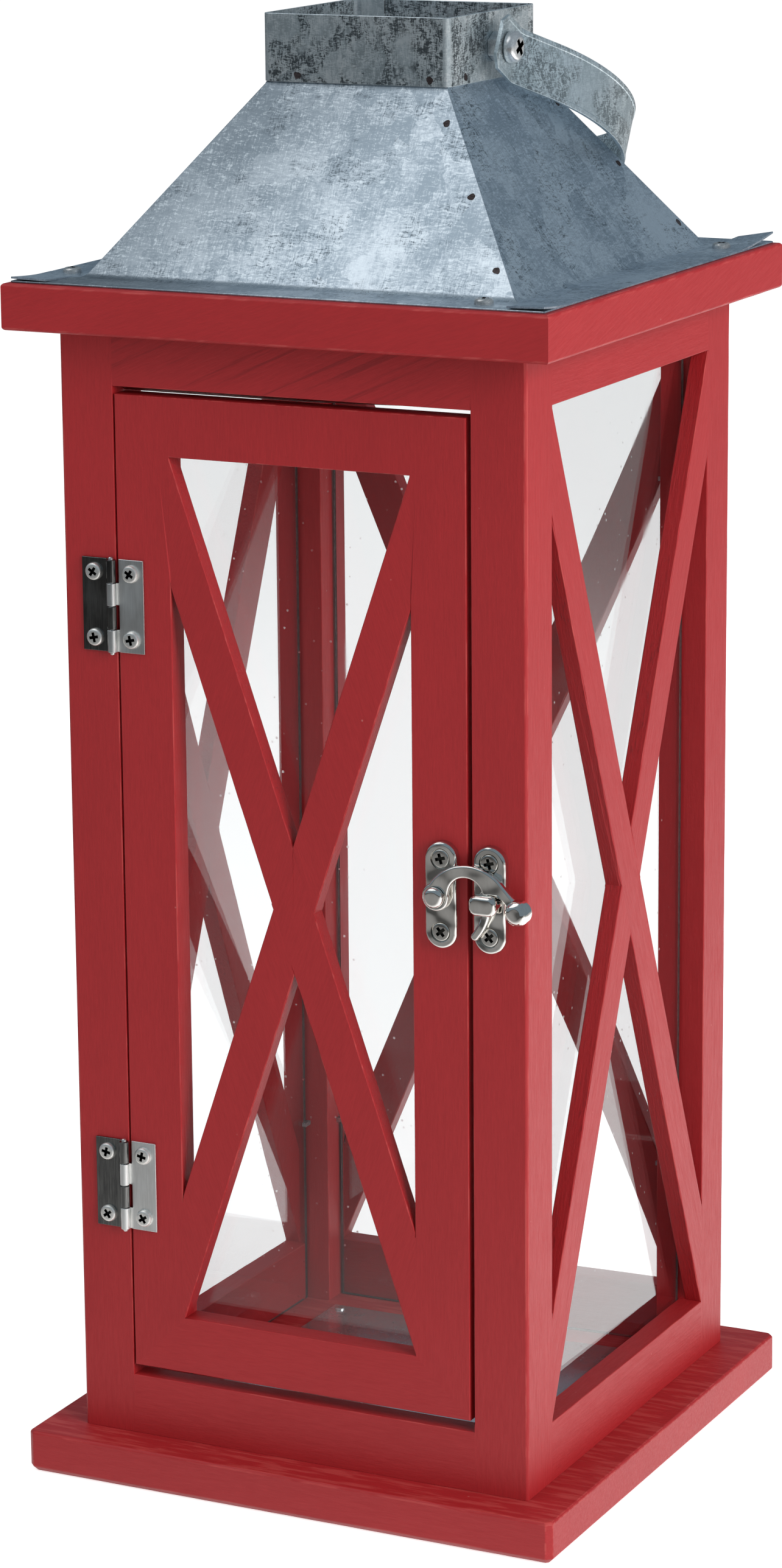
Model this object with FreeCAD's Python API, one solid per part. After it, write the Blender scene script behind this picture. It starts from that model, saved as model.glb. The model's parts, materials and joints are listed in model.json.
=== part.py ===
import FreeCAD, Part
import math
import os

# A wooden candle lantern with a sheet metal roof, in millimetres.
# X runs to the right, the door faces -Y, Z is up, and the origin is the middle of the underside.

# Base, posts and cap
BODY_SIDE = 136.0
POST_SIDE = 15.8
POST_HEIGHT = 308.5
BASE_OVERHANG = 12.0
BASE_THICKNESS = 12.0
BASE_EDGE_BEVEL = 1.6
CAP_OVERHANG = 11.0
CAP_THICKNESS = 12.5
CAP_BOARD_WIDTH = 34.0
WOOD_EDGE_BEVEL = 0.6
NAIL_SIDE = 2.4
NAIL_GRIP = 20.0

# Rails, braces and panes of the sides
RAIL_THICKNESS = 7.0
BOTTOM_RAIL_HEIGHT = 17.0
TOP_RAIL_HEIGHT = 14.7
BRACE_WIDTH = 11.5
BRACE_THICKNESS = 5.0
PANE_THICKNESS = 2.0
PANE_CLEARANCE = 0.5
SPRIG_SIDE = 1.2
SPRIG_GRIP = 5.0
SPRIG_SHOW = 3.0
SPRIG_INSET = 38.0

# Candle plate on the floor
PLATE_SIDE = 97.0
PLATE_THICKNESS = 0.6
TACK_HEAD = 3.0
TACK_RISE = 0.6
TACK_SHANK = 1.0
TACK_LENGTH = 5.0
TACK_INSET = 3.3

# Door
DOOR_THICKNESS = 7.0
DOOR_MEMBER_WIDTH = 16.0
DOOR_HINGE_GAP = 0.5
DOOR_LATCH_GAP = 1.3
DOOR_TOP_GAP = 2.0
DOOR_BOTTOM_GAP = 3.0
DOOR_PANE_OVERLAP = 8.0
BRAD_INSET = 45.0

# Butt hinges
HINGE_HEIGHT = 25.4
LEAF_REACH = 9.3
LEAF_THICKNESS = 0.7
KNUCKLE_RADIUS = 1.3
HINGE_PIN_DIAMETER = 1.4
HINGE_PIN_PLAY = 0.1
HINGE_PIN_SHOW = 0.7
HINGE_AXIS_PROUD = 1.5
HINGE_AXIS_SHIFT = 1.0
KNUCKLE_COUNT = 4
KNUCKLE_GAP = 0.2
LEAF_RELIEF = 0.5
UPPER_HINGE_DROP = 57.0
LOWER_HINGE_RISE = 52.5
HINGE_SCREW_HEAD = 4.8
HINGE_SCREW_RISE = 1.2
HINGE_SCREW_SHANK = 1.8
HINGE_SCREW_LENGTH = 6.5
HINGE_SCREW_EDGE = 3.75

# Swing hook latch
LATCH_HEIGHT = 145.8
LATCH_PIVOT_INSET = 7.4
LATCH_PLATE_WIDTH = 9.2
LATCH_PLATE_HEIGHT = 29.0
LATCH_PLATE_THICKNESS = 2.4
LATCH_PLATE_BEVEL = 0.8
LATCH_PLATE_OFFSET = 0.6
LATCH_SCREW_HEAD = 5.2
LATCH_SCREW_RISE = 0.9
LATCH_SCREW_SHANK = 2.0
LATCH_SCREW_LENGTH = 7.0
LATCH_SCREW_PLAY = 0.15
LATCH_PLAY = 0.2
ARM_THICKNESS = 2.0
ARM_WIDTH = 3.4
ARM_BOSS_RADIUS = 3.8
ARM_BOSS_TOP_ANGLE = 115.0
ARM_BOSS_SIDE_ANGLE = 15.0
ARCH_REACH = 8.7
ARCH_RISE = 9.4
PRONG_RADIUS = 14.8
PRONG_WIDTH = 2.2
PRONG_TOP_ANGLE = 7.0
PRONG_TIP_ANGLE = -40.0
KNOB_REACH = 24.0
KNOB_DROP = 1.6
KNOB_RADIUS = 3.4
KNOB_SEAT_RADIUS = 2.7
KNOB_THICKNESS = 5.4
KNOB_SINK = -0.8
KNOB_BEVEL = 1.3
KNOB_TOP_ANGLE = 117.0
KNOB_UNDER_ANGLE = 198.0
FINGER_TAB_REACH = 3.0
FINGER_TAB_TOP = 5.4
FINGER_TAB_UNDER = 1.0
RIVET_HEAD_RADIUS = 2.85
RIVET_HEAD_RISE = 1.5
RIVET_RADIUS = 1.5
BUTTON_WIDTH = 7.8
BUTTON_HEIGHT = 5.6
BUTTON_THICKNESS = 2.0
BUTTON_DROP = 0.5
BUTTON_CORNER_RADIUS = 2.2
BUTTON_BEVEL = 0.7
TONGUE_THICKNESS = 2.0

# Sheet metal roof and collar
SHEET_THICKNESS = 0.6
ROOF_FLANGE_INSET = 2.0
ROOF_FLANGE_WIDTH = 14.6
ROOF_HEIGHT = 49.5
ROOF_FOOT_RADIUS = 3.0
ROOF_NECK_RADIUS = 1.2
NECK_HEIGHT = 3.6
HIP_TAB_WIDTH = 7.0
HIP_TAB_END_GAP = 3.0
COLLAR_SIDE = 54.6
COLLAR_HEIGHT = 18.0
COLLAR_FOLD_RADIUS = 2.0
COLLAR_LAP = 7.0
ROOF_SCREW_HEAD = 5.0
ROOF_SCREW_RISE = 1.5
ROOF_SCREW_SHANK = 2.4
ROOF_SCREW_LENGTH = 9.0
ROOF_SCREW_OFFSET = 57.0

# Handle
HANDLE_WIDTH = 15.5
HANDLE_THICKNESS = 1.0
HANDLE_FLAT = 9.5
HANDLE_ARC_RADIUS = 42.5
HANDLE_FLARE = 38.0
HANDLE_BEND_RADIUS = 4.0
HANDLE_BEND_RISE = 4.8
HANDLE_TAB_END = 6.5
HANDLE_TAB_CLIP = 3.0
HANDLE_PLAY = 0.6
HANDLE_ROOF_CLEARANCE = 0.5
HANDLE_SAMPLES = 400
HANDLE_SCREW_HEAD = 8.5
HANDLE_SCREW_RISE = 2.8
HANDLE_SCREW_DIAMETER = 4.0
HANDLE_SCREW_END = 1.5
HANDLE_HOLE_PLAY = 0.4
NUT_ACROSS_FLATS = 7.0
NUT_THICKNESS = 3.2
HANDLE_PIVOT_DROP = 9.4

# Fits that several pieces share, and the distance under which two places are one
HOLE_PLAY = 0.1
HEAD_SIDES = 16
SHANK_SIDES = 6
SAME_PLACE = 0.001

# Places that follow from the sizes above
BASE_SIDE = BODY_SIDE + 2 * BASE_OVERHANG
CAP_SIDE = BODY_SIDE + 2 * CAP_OVERHANG
ROOF_FLANGE_SIDE = CAP_SIDE - 2 * ROOF_FLANGE_INSET
ROOF_FOOT_SIDE = ROOF_FLANGE_SIDE - 2 * ROOF_FLANGE_WIDTH
BODY_HALF = BODY_SIDE / 2
FRONT = -BODY_HALF
OPENING_HALF = BODY_HALF - POST_SIDE
POST_MIDDLE = BODY_HALF - POST_SIDE / 2
FLOOR = BASE_THICKNESS
SILL = FLOOR + BOTTOM_RAIL_HEIGHT
CAP_BOTTOM = FLOOR + POST_HEIGHT
HEAD = CAP_BOTTOM - TOP_RAIL_HEIGHT
CAP_TOP = CAP_BOTTOM + CAP_THICKNESS
DOOR_LEFT = DOOR_HINGE_GAP - OPENING_HALF
DOOR_RIGHT = OPENING_HALF - DOOR_LATCH_GAP
DOOR_BOTTOM = SILL + DOOR_BOTTOM_GAP
DOOR_TOP = HEAD - DOOR_TOP_GAP
DOOR_BACK = FRONT + DOOR_THICKNESS
HINGE_X = DOOR_LEFT - DOOR_HINGE_GAP / 2 - HINGE_AXIS_SHIFT
HINGE_Y = FRONT - HINGE_AXIS_PROUD
HINGE_HEIGHTS = {"lower": DOOR_BOTTOM + LOWER_HINGE_RISE, "upper": DOOR_TOP - UPPER_HINGE_DROP}
LATCH_X = DOOR_RIGHT - LATCH_PIVOT_INSET
LATCH_Z = DOOR_BOTTOM + LATCH_HEIGHT
ROOF_TOP = CAP_TOP + ROOF_HEIGHT
COLLAR_HALF = COLLAR_SIDE / 2
NECK_INNER_HALF = COLLAR_HALF - 2 * SHEET_THICKNESS

UP = FreeCAD.Vector(0, 0, 1)
DOWN = FreeCAD.Vector(0, 0, -1)
RIGHT = FreeCAD.Vector(1, 0, 0)
FORWARD = FreeCAD.Vector(0, -1, 0)
ORIGIN = FreeCAD.Vector(0, 0, 0)
QUARTER_TURNS = {"front": 0, "right": 1, "rear": 2, "left": 3}


def box(x0, x1, y0, y1, z0, z1):
    """A block between two corners."""
    return Part.makeBox(x1 - x0, y1 - y0, z1 - z0, FreeCAD.Vector(x0, y0, z0))


def prism(points, start, depth):
    """A polygon drawn at one corner of space and pushed along the depth vector."""
    corners = [FreeCAD.Vector(*point) + start for point in points]
    return Part.Face(Part.makePolygon(corners + corners[:1])).extrude(depth)


def upright_prism(points, y0, y1):
    """An outline in X and Z, pushed along Y."""
    corners = [(x, 0, z) for x, z in points]
    return prism(corners, FreeCAD.Vector(0, y0, 0), FreeCAD.Vector(0, y1 - y0, 0))


def quarter_turned(shape, side):
    """The piece that is drawn on the front, carried round to another side."""
    turned = shape.copy()
    turned.rotate(ORIGIN, UP, 90 * QUARTER_TURNS[side])
    return turned


def facing(shape, outward, point):
    """A fastener that is drawn with its head up, set at a point with its head outwards."""
    turned = shape.copy()
    turned.Placement = FreeCAD.Placement(point, FreeCAD.Rotation(UP, outward))
    return turned


def edges_along(shape, direction, test):
    """The straight edges that run along a direction and whose middle passes a test."""
    found = []
    for edge in shape.Edges:
        run = edge.Vertexes[-1].Point - edge.Vertexes[0].Point
        straight = abs(abs(run.dot(direction)) - edge.Length) < SAME_PLACE
        if straight and test(edge.CenterOfMass):
            found.append(edge)
    return found


def faceted(radius, sides, z0, z1):
    """A small upright round piece, drawn with flat sides."""
    corners = []
    for index in range(sides):
        angle = 2 * math.pi * index / sides
        corners.append((radius * math.cos(angle), radius * math.sin(angle), z0))
    return prism(corners, ORIGIN, UP * (z1 - z0))


def screw(head, rise, shank, length):
    """A pan head screw that stands on the XY plane and points down."""
    pan = faceted(head / 2, HEAD_SIDES, 0, rise)
    stem = faceted(shank / 2, SHANK_SIDES, -length, 0)
    return pan.fuse(stem).removeSplitter()


def drill(shank, length):
    """The hole for a screw's shank, with a little play."""
    return faceted(shank / 2 + HOLE_PLAY, SHANK_SIDES, -length - HOLE_PLAY, 0)


def save(name, *solids):
    """One file for one named piece, or for a group of like pieces."""
    shape = solids[0] if len(solids) == 1 else Part.makeCompound(list(solids))
    shape.exportStep(f"parts/{name}.step")


# Carcase


def carcase_nails(height, outward, board, play):
    """Square nails on the middle line of each post, through the base or the cap."""
    half = NAIL_SIDE / 2 + play
    nail = box(-half, half, -half, half, -(board + NAIL_GRIP + play), 0)
    return [facing(nail, outward, FreeCAD.Vector(x, y, height))
            for x in (-POST_MIDDLE, POST_MIDDLE) for y in (-POST_MIDDLE, POST_MIDDLE)]


def post(x_sign, y_sign):
    """A square post with its outer corner eased."""
    xs = sorted((x_sign * OPENING_HALF, x_sign * BODY_HALF))
    ys = sorted((y_sign * OPENING_HALF, y_sign * BODY_HALF))
    solid = box(*xs, *ys, FLOOR, CAP_BOTTOM)
    outer = edges_along(solid, UP, lambda p: p.x * x_sign > POST_MIDDLE and p.y * y_sign > POST_MIDDLE)
    return solid.makeChamfer(WOOD_EDGE_BEVEL, outer)


def base_board():
    """The square foot: its corners and lower edge bevelled, its upper edge eased."""
    half = BASE_SIDE / 2
    board = box(-half, half, -half, half, 0, BASE_THICKNESS)
    board = board.makeChamfer(BASE_EDGE_BEVEL, edges_along(board, UP, lambda p: True))
    lower = [edge for edge in board.Edges if edge.BoundBox.ZMax < SAME_PLACE]
    board = board.makeChamfer(BASE_EDGE_BEVEL, lower)
    upper = [edge for edge in board.Edges if edge.BoundBox.ZMin > BASE_THICKNESS - SAME_PLACE]
    return board.makeChamfer(WOOD_EDGE_BEVEL, upper)


def front_quarter(reach, z0, z1):
    """The quarter of space in front of the two vertical planes through the corners."""
    points = [(0, 0, z0), (-reach, -reach, z0), (reach, -reach, z0)]
    return prism(points, ORIGIN, UP * (z1 - z0))


def cap_board():
    """The front board of the cap: eased outer edges and mitred ends."""
    half = CAP_SIDE / 2
    board = box(-half, half, -half, CAP_BOARD_WIDTH - half, CAP_BOTTOM, CAP_TOP)
    board = board.makeChamfer(WOOD_EDGE_BEVEL, edges_along(board, RIGHT, lambda p: p.y < SAME_PLACE - half))
    return board.common(front_quarter(CAP_SIDE, CAP_BOTTOM, CAP_TOP))


def brace_pair(x0, x1, z0, z1, y0, y1):
    """Two crossing strips, half lapped, that run from corner to corner of an opening.

    Each strip has one edge through a top corner and the other through the opposite bottom
    corner, and its ends are cut upright against the members beside it."""
    across = x1 - x0
    tall = z1 - z0
    lean = math.atan2(across, tall) + math.asin(BRACE_WIDTH / math.hypot(across, tall))
    drop = across / math.tan(lean)
    falling = upright_prism([(x0, z1), (x1, z1 - drop), (x1, z0), (x0, z0 + drop)], y0, y1)
    rising = upright_prism([(x1, z1), (x0, z1 - drop), (x0, z0), (x1, z0 + drop)], y0, y1)
    crossing = falling.common(rising)
    middle = (y0 + y1) / 2
    back_half = crossing.common(box(x0, x1, middle, y1, z0, z1))
    front_half = crossing.common(box(x0, x1, y0, middle, z0, z1))
    return {"falling": falling.cut(back_half), "rising": rising.cut(front_half)}


def pane():
    """A glass pane behind the front plane's rails, standing on the floor between the posts."""
    half = OPENING_HALF - PANE_CLEARANCE
    y0 = FRONT + RAIL_THICKNESS
    return box(-half, half, y0, y0 + PANE_THICKNESS, FLOOR, CAP_BOTTOM - PANE_CLEARANCE)


def glazing_sprigs(play):
    """Headless square nails driven sideways into the posts, just behind a pane of the front plane."""
    half = SPRIG_SIDE / 2 + play
    y = FRONT + RAIL_THICKNESS + PANE_THICKNESS + SPRIG_SIDE / 2
    sprigs = []
    for side in (-1, 1):
        ends = sorted((side * (OPENING_HALF - SPRIG_SHOW), side * (OPENING_HALF + SPRIG_GRIP + play)))
        for z in (SILL + SPRIG_INSET, HEAD - SPRIG_INSET):
            sprigs.append(box(*ends, y - half, y + half, z - half, z + half))
    return sprigs


PANEL_SIDES = ("left", "right", "rear")
sprigs = []
sprig_holes = []
for side in PANEL_SIDES:
    sprigs += [quarter_turned(sprig, side) for sprig in glazing_sprigs(0)]
    sprig_holes += [quarter_turned(hole, side) for hole in glazing_sprigs(HOLE_PLAY)]

base_holes = carcase_nails(0, DOWN, BASE_THICKNESS, HOLE_PLAY)
cap_holes = carcase_nails(CAP_TOP, UP, CAP_THICKNESS, HOLE_PLAY)

# Candle plate


def candle_plate():
    """A square of sheet on the floor, with a tack in each corner."""
    half = PLATE_SIDE / 2
    top = FLOOR + PLATE_THICKNESS
    sheet = box(-half, half, -half, half, FLOOR, top)
    reach = half - TACK_INSET
    places = [FreeCAD.Vector(x, y, top) for x in (-reach, reach) for y in (-reach, reach)]
    tack = screw(TACK_HEAD, TACK_RISE, TACK_SHANK, TACK_LENGTH)
    tacks = [facing(tack, UP, place) for place in places]
    holes = [facing(drill(TACK_SHANK, TACK_LENGTH), UP, place) for place in places]
    return sheet.cut(holes), tacks, holes


plate, plate_tacks, tack_holes = candle_plate()

# Hinges


def knuckle_span(index):
    """Lower and upper end of a knuckle, counted from the top of the hinge."""
    pitch = HINGE_HEIGHT / KNUCKLE_COUNT
    upper = HINGE_HEIGHT / 2 - index * pitch
    return upper - pitch + KNUCKLE_GAP / 2, upper - KNUCKLE_GAP / 2


def hinge_leaf(x_sign, first_knuckle):
    """A leaf lying on the wood on one side of the pin, with every second knuckle rolled on it."""
    back = HINGE_AXIS_PROUD
    face = back - LEAF_THICKNESS
    inner = KNUCKLE_RADIUS + LEAF_RELIEF
    half = HINGE_HEIGHT / 2
    leaf = box(*sorted((x_sign * inner, x_sign * LEAF_REACH)), face, back, -half, half)
    for index in range(first_knuckle, KNUCKLE_COUNT, 2):
        low, high = knuckle_span(index)
        leaf = leaf.fuse(box(*sorted((0, x_sign * inner)), face, back, low, high))
        leaf = leaf.fuse(Part.makeCylinder(KNUCKLE_RADIUS, high - low, UP * low))
    bore = Part.makeCylinder(HINGE_PIN_DIAMETER / 2 + HINGE_PIN_PLAY, HINGE_HEIGHT, UP * -half)
    return leaf.cut(bore).removeSplitter()


def hinge_pin():
    """A pin through the knuckles, showing a little at the top and the bottom."""
    length = HINGE_HEIGHT + 2 * HINGE_PIN_SHOW
    return Part.makeCylinder(HINGE_PIN_DIAMETER / 2, length, UP * (-length / 2))


def hinge_screw_places(x_sign, height):
    """The two screws of one leaf, on the leaf's face."""
    x = HINGE_X + x_sign * (LEAF_REACH - HINGE_SCREW_EDGE)
    reach = HINGE_HEIGHT / 2 - HINGE_SCREW_EDGE
    return [FreeCAD.Vector(x, FRONT - LEAF_THICKNESS, height + z) for z in (-reach, reach)]


hinge_screw = screw(HINGE_SCREW_HEAD, HINGE_SCREW_RISE, HINGE_SCREW_SHANK, HINGE_SCREW_LENGTH)
hinge_hole = drill(HINGE_SCREW_SHANK, HINGE_SCREW_LENGTH)
hinge_pins = []
leaves = {}
hinge_screws = {"frame": [], "door": []}
hinge_holes = {"frame": [], "door": []}
for level, height in HINGE_HEIGHTS.items():
    axis = FreeCAD.Vector(HINGE_X, HINGE_Y, height)
    hinge_pins.append(hinge_pin().translated(axis))
    for owner, x_sign, first_knuckle in (("frame", -1, 0), ("door", 1, 1)):
        places = hinge_screw_places(x_sign, height)
        holes = [facing(hinge_hole, FORWARD, place) for place in places]
        leaf = hinge_leaf(x_sign, first_knuckle).translated(axis)
        leaves[f"{level}_hinge_{owner}_leaf"] = leaf.cut(holes)
        hinge_screws[owner] += [facing(hinge_screw, FORWARD, place) for place in places]
        hinge_holes[owner] += holes

# Latch, drawn in X and Z about its rivet, with the wood's face at Y = 0


def polar(radius, angle):
    """A point about the rivet, by its distance and its angle above the horizontal."""
    return FreeCAD.Vector(radius * math.cos(math.radians(angle)), 0, radius * math.sin(math.radians(angle)))


def arc(start, middle, end):
    """An arc through three points."""
    return Part.Arc(start, middle, end).toShape()


def oblong(x, z, width, height, depth):
    """A plate with half round ends, standing out from the wood."""
    reach = (height - width) / 2
    radius = width / 2
    ends = []
    for sign in (-1, 1):
        place = FreeCAD.Vector(x, 0, z + sign * reach)
        ends.append(Part.makeCylinder(radius, depth, place, FORWARD))
    bar = box(x - radius, x + radius, -depth, 0, z - reach, z + reach)
    return bar.fuse(ends).removeSplitter()


def latch_plate(x, z, bosses):
    """A pressed plate with a rounded rim and two dished screw seats."""
    plate = oblong(x, z, LATCH_PLATE_WIDTH, LATCH_PLATE_HEIGHT, LATCH_PLATE_THICKNESS)
    if bosses:
        plate = plate.fuse(bosses).removeSplitter()
    rim = [edge for edge in plate.Edges if edge.BoundBox.YMax < -LATCH_PLATE_THICKNESS / 2]
    plate = plate.makeChamfer(LATCH_PLATE_BEVEL, rim)
    places = latch_screw_places(x, z)
    seat = faceted(LATCH_SCREW_HEAD / 2 + LATCH_SCREW_PLAY, HEAD_SIDES, 0, LATCH_SCREW_RISE)
    seats = [facing(seat, FORWARD, place) for place in places]
    return plate.cut(seats + [facing(latch_hole, FORWARD, place) for place in places])


def latch_screw_places(x, z):
    """The seats of a plate's two screws, sunk by the height of the head."""
    reach = (LATCH_PLATE_HEIGHT - LATCH_PLATE_WIDTH) / 2
    depth = LATCH_PLATE_THICKNESS - LATCH_SCREW_RISE
    return [FreeCAD.Vector(x, -depth, z + sign * reach) for sign in (-1, 1)]


def swing_arm():
    """The hook: boss, arch, prong on an arc about the rivet, and a finger tab with a knob.

    The prong keeps one distance from the rivet, so it slides in and out behind the button."""
    outer = PRONG_RADIUS + PRONG_WIDTH / 2
    inner = PRONG_RADIUS - PRONG_WIDTH / 2
    tip_middle = (PRONG_TIP_ANGLE + PRONG_TOP_ANGLE) / 2
    tip_bulge = math.degrees(PRONG_WIDTH / 2 / PRONG_RADIUS)
    crest = FreeCAD.Vector(ARCH_REACH, 0, ARCH_RISE)
    knob = FreeCAD.Vector(KNOB_REACH, 0, -KNOB_DROP)
    boss_top = polar(ARM_BOSS_RADIUS, ARM_BOSS_TOP_ANGLE)
    boss_side = polar(ARM_BOSS_RADIUS, ARM_BOSS_SIDE_ANGLE)
    boss_far = polar(-ARM_BOSS_RADIUS, (ARM_BOSS_TOP_ANGLE + ARM_BOSS_SIDE_ANGLE) / 2)
    knob_top = knob + polar(KNOB_SEAT_RADIUS, KNOB_TOP_ANGLE)
    knob_under = knob + polar(KNOB_SEAT_RADIUS, KNOB_UNDER_ANGLE)
    knob_far = knob + polar(-KNOB_SEAT_RADIUS, (KNOB_TOP_ANGLE + KNOB_UNDER_ANGLE) / 2)
    tab_top = FreeCAD.Vector(outer + FINGER_TAB_REACH, 0, FINGER_TAB_TOP)
    tab_inside = FreeCAD.Vector(outer + FINGER_TAB_REACH, 0, FINGER_TAB_UNDER)
    edges = [
        arc(boss_top, crest, tab_top),
        Part.makeLine(tab_top, knob_top),
        arc(knob_top, knob_far, knob_under),
        arc(knob_under, tab_inside, polar(outer, PRONG_TOP_ANGLE)),
        arc(polar(outer, PRONG_TOP_ANGLE), polar(outer, tip_middle), polar(outer, PRONG_TIP_ANGLE)),
        arc(polar(outer, PRONG_TIP_ANGLE), polar(PRONG_RADIUS, PRONG_TIP_ANGLE - tip_bulge),
            polar(inner, PRONG_TIP_ANGLE)),
        arc(polar(inner, PRONG_TIP_ANGLE), polar(inner, tip_middle), polar(inner, 0)),
        arc(polar(inner, 0), crest - UP * ARM_WIDTH, boss_side),
        arc(boss_side, boss_far, boss_top),
    ]
    arm = Part.Face(Part.Wire(edges)).extrude(FORWARD * ARM_THICKNESS)
    ball = Part.makeCylinder(KNOB_RADIUS, KNOB_THICKNESS, knob + FORWARD * KNOB_SINK, FORWARD)
    rims = [edge for edge in ball.Edges if edge.BoundBox.YLength < SAME_PLACE]
    arm = arm.fuse(ball.makeChamfer(KNOB_BEVEL, rims)).removeSplitter()
    bore = Part.makeCylinder(RIVET_RADIUS + LATCH_PLAY, ARM_THICKNESS, ORIGIN, FORWARD)
    return arm.cut(bore)


def catch_button():
    """A rounded head that hides the prong, carried by a tongue beyond the prong's arc."""
    right = PRONG_RADIUS + PRONG_WIDTH / 2 + 2 * LATCH_PLAY + TONGUE_THICKNESS
    left = right - BUTTON_WIDTH
    half = BUTTON_HEIGHT / 2
    under = -(LATCH_PLATE_THICKNESS + ARM_THICKNESS + 2 * LATCH_PLAY)
    head = box(left, right, under - BUTTON_THICKNESS, under, -half, half)
    head = head.makeFillet(BUTTON_CORNER_RADIUS, edges_along(head, FORWARD, lambda p: True))
    face = [edge for edge in head.Edges if edge.BoundBox.YMax < under - BUTTON_THICKNESS / 2]
    head = head.makeChamfer(BUTTON_BEVEL, face)
    flat = half - BUTTON_CORNER_RADIUS
    tongue = box(right - TONGUE_THICKNESS, right, under, -LATCH_PLATE_THICKNESS / 2, -flat, flat)
    return head.fuse(tongue).translated(DOWN * BUTTON_DROP)


latch_screw = screw(LATCH_SCREW_HEAD, LATCH_SCREW_RISE, LATCH_SCREW_SHANK, LATCH_SCREW_LENGTH)
latch_hole = drill(LATCH_SCREW_SHANK, LATCH_SCREW_LENGTH)
latch_origin = FreeCAD.Vector(LATCH_X, FRONT, LATCH_Z)
catch_x = PRONG_RADIUS - LATCH_PLAY
arm_lift = FORWARD * (LATCH_PLATE_THICKNESS + LATCH_PLAY)

pivot_boss = Part.makeCylinder(LATCH_PLATE_WIDTH / 2, LATCH_PLATE_THICKNESS, ORIGIN, FORWARD)
rivet_bore = Part.makeCylinder(RIVET_RADIUS + HOLE_PLAY, LATCH_PLATE_THICKNESS, ORIGIN, FORWARD)
pivot_plate = latch_plate(LATCH_PLATE_OFFSET, 0, [pivot_boss]).cut(rivet_bore).translated(latch_origin)
pivot_screw_places = [p + latch_origin for p in latch_screw_places(LATCH_PLATE_OFFSET, 0)]

catch_plate = latch_plate(catch_x, 0, []).fuse(catch_button()).removeSplitter().translated(latch_origin)
catch_screw_places = [p + latch_origin for p in latch_screw_places(catch_x, 0)]

latch_arm = swing_arm().translated(latch_origin + arm_lift)


def latch_rivet():
    """A rivet with a tapered head that holds the arm down on the pivot plate."""
    stem_length = LATCH_PLATE_THICKNESS + ARM_THICKNESS + 2 * LATCH_PLAY
    stem = Part.makeCylinder(RIVET_RADIUS, stem_length, ORIGIN, FORWARD)
    head = Part.makeCone(RIVET_HEAD_RADIUS, RIVET_RADIUS, RIVET_HEAD_RISE, FORWARD * stem_length, FORWARD)
    return stem.fuse(head).removeSplitter()


# Door


def mitre_wedge(x0, x1, z0, z1, y0, y1):
    """The door's corner-to-corner wedges: left, right, top and bottom regions between the mitres."""
    half = (x1 - x0) / 2
    middle = (x0 + x1) / 2
    left = upright_prism([(x0, z0), (x0, z1), (middle, z1 - half), (middle, z0 + half)], y0, y1)
    right = upright_prism([(x1, z0), (x1, z1), (middle, z1 - half), (middle, z0 + half)], y0, y1)
    top = upright_prism([(x0, z1), (x1, z1), (middle, z1 - half)], y0, y1)
    bottom = upright_prism([(x0, z0), (x1, z0), (middle, z0 + half)], y0, y1)
    return {"hinge_stile": left, "latch_stile": right, "top_rail": top, "bottom_rail": bottom}


def bent_brad(x_sign, x, z, play):
    """A square brad driven into the back of the door beside the pane and bent over the glass."""
    half = SPRIG_SIDE / 2 + play
    glass_back = DOOR_BACK + PANE_THICKNESS
    far_back = glass_back + SPRIG_SIDE
    shank = box(x - half, x + half, DOOR_BACK - SPRIG_GRIP - play, far_back, z - half, z + half)
    ends = sorted((x, x - x_sign * (SPRIG_SHOW + SPRIG_SIDE)))
    return shank.fuse(box(*ends, glass_back, far_back, z - half, z + half)).removeSplitter()


door_opening = (DOOR_LEFT + DOOR_MEMBER_WIDTH, DOOR_RIGHT - DOOR_MEMBER_WIDTH,
                DOOR_BOTTOM + DOOR_MEMBER_WIDTH, DOOR_TOP - DOOR_MEMBER_WIDTH)
pane_left = door_opening[0] - DOOR_PANE_OVERLAP
pane_right = door_opening[1] + DOOR_PANE_OVERLAP
pane_bottom = door_opening[2] - DOOR_PANE_OVERLAP
pane_top = door_opening[3] + DOOR_PANE_OVERLAP
door_pane = box(pane_left, pane_right, DOOR_BACK, DOOR_BACK + PANE_THICKNESS, pane_bottom, pane_top)

brads = []
brad_holes = []
for x_sign, edge in ((-1, pane_left), (1, pane_right)):
    x = edge + x_sign * (PANE_CLEARANCE + SPRIG_SIDE / 2)
    for z in (pane_bottom + BRAD_INSET, pane_top - BRAD_INSET):
        brads.append(bent_brad(x_sign, x, z, 0))
        brad_holes.append(bent_brad(x_sign, x, z, HOLE_PLAY))

door_ring = box(DOOR_LEFT, DOOR_RIGHT, FRONT, DOOR_BACK, DOOR_BOTTOM, DOOR_TOP).cut(
    box(*door_opening[:2], FRONT, DOOR_BACK, *door_opening[2:]))
pivot_holes = [facing(latch_hole, FORWARD, place) for place in pivot_screw_places]
door_holes = hinge_holes["door"] + pivot_holes + brad_holes
door_members = {}
for name, wedge in mitre_wedge(DOOR_LEFT, DOOR_RIGHT, DOOR_BOTTOM, DOOR_TOP, FRONT, DOOR_BACK).items():
    door_members[name] = door_ring.common(wedge).cut(door_holes)

# Roof and collar


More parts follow.
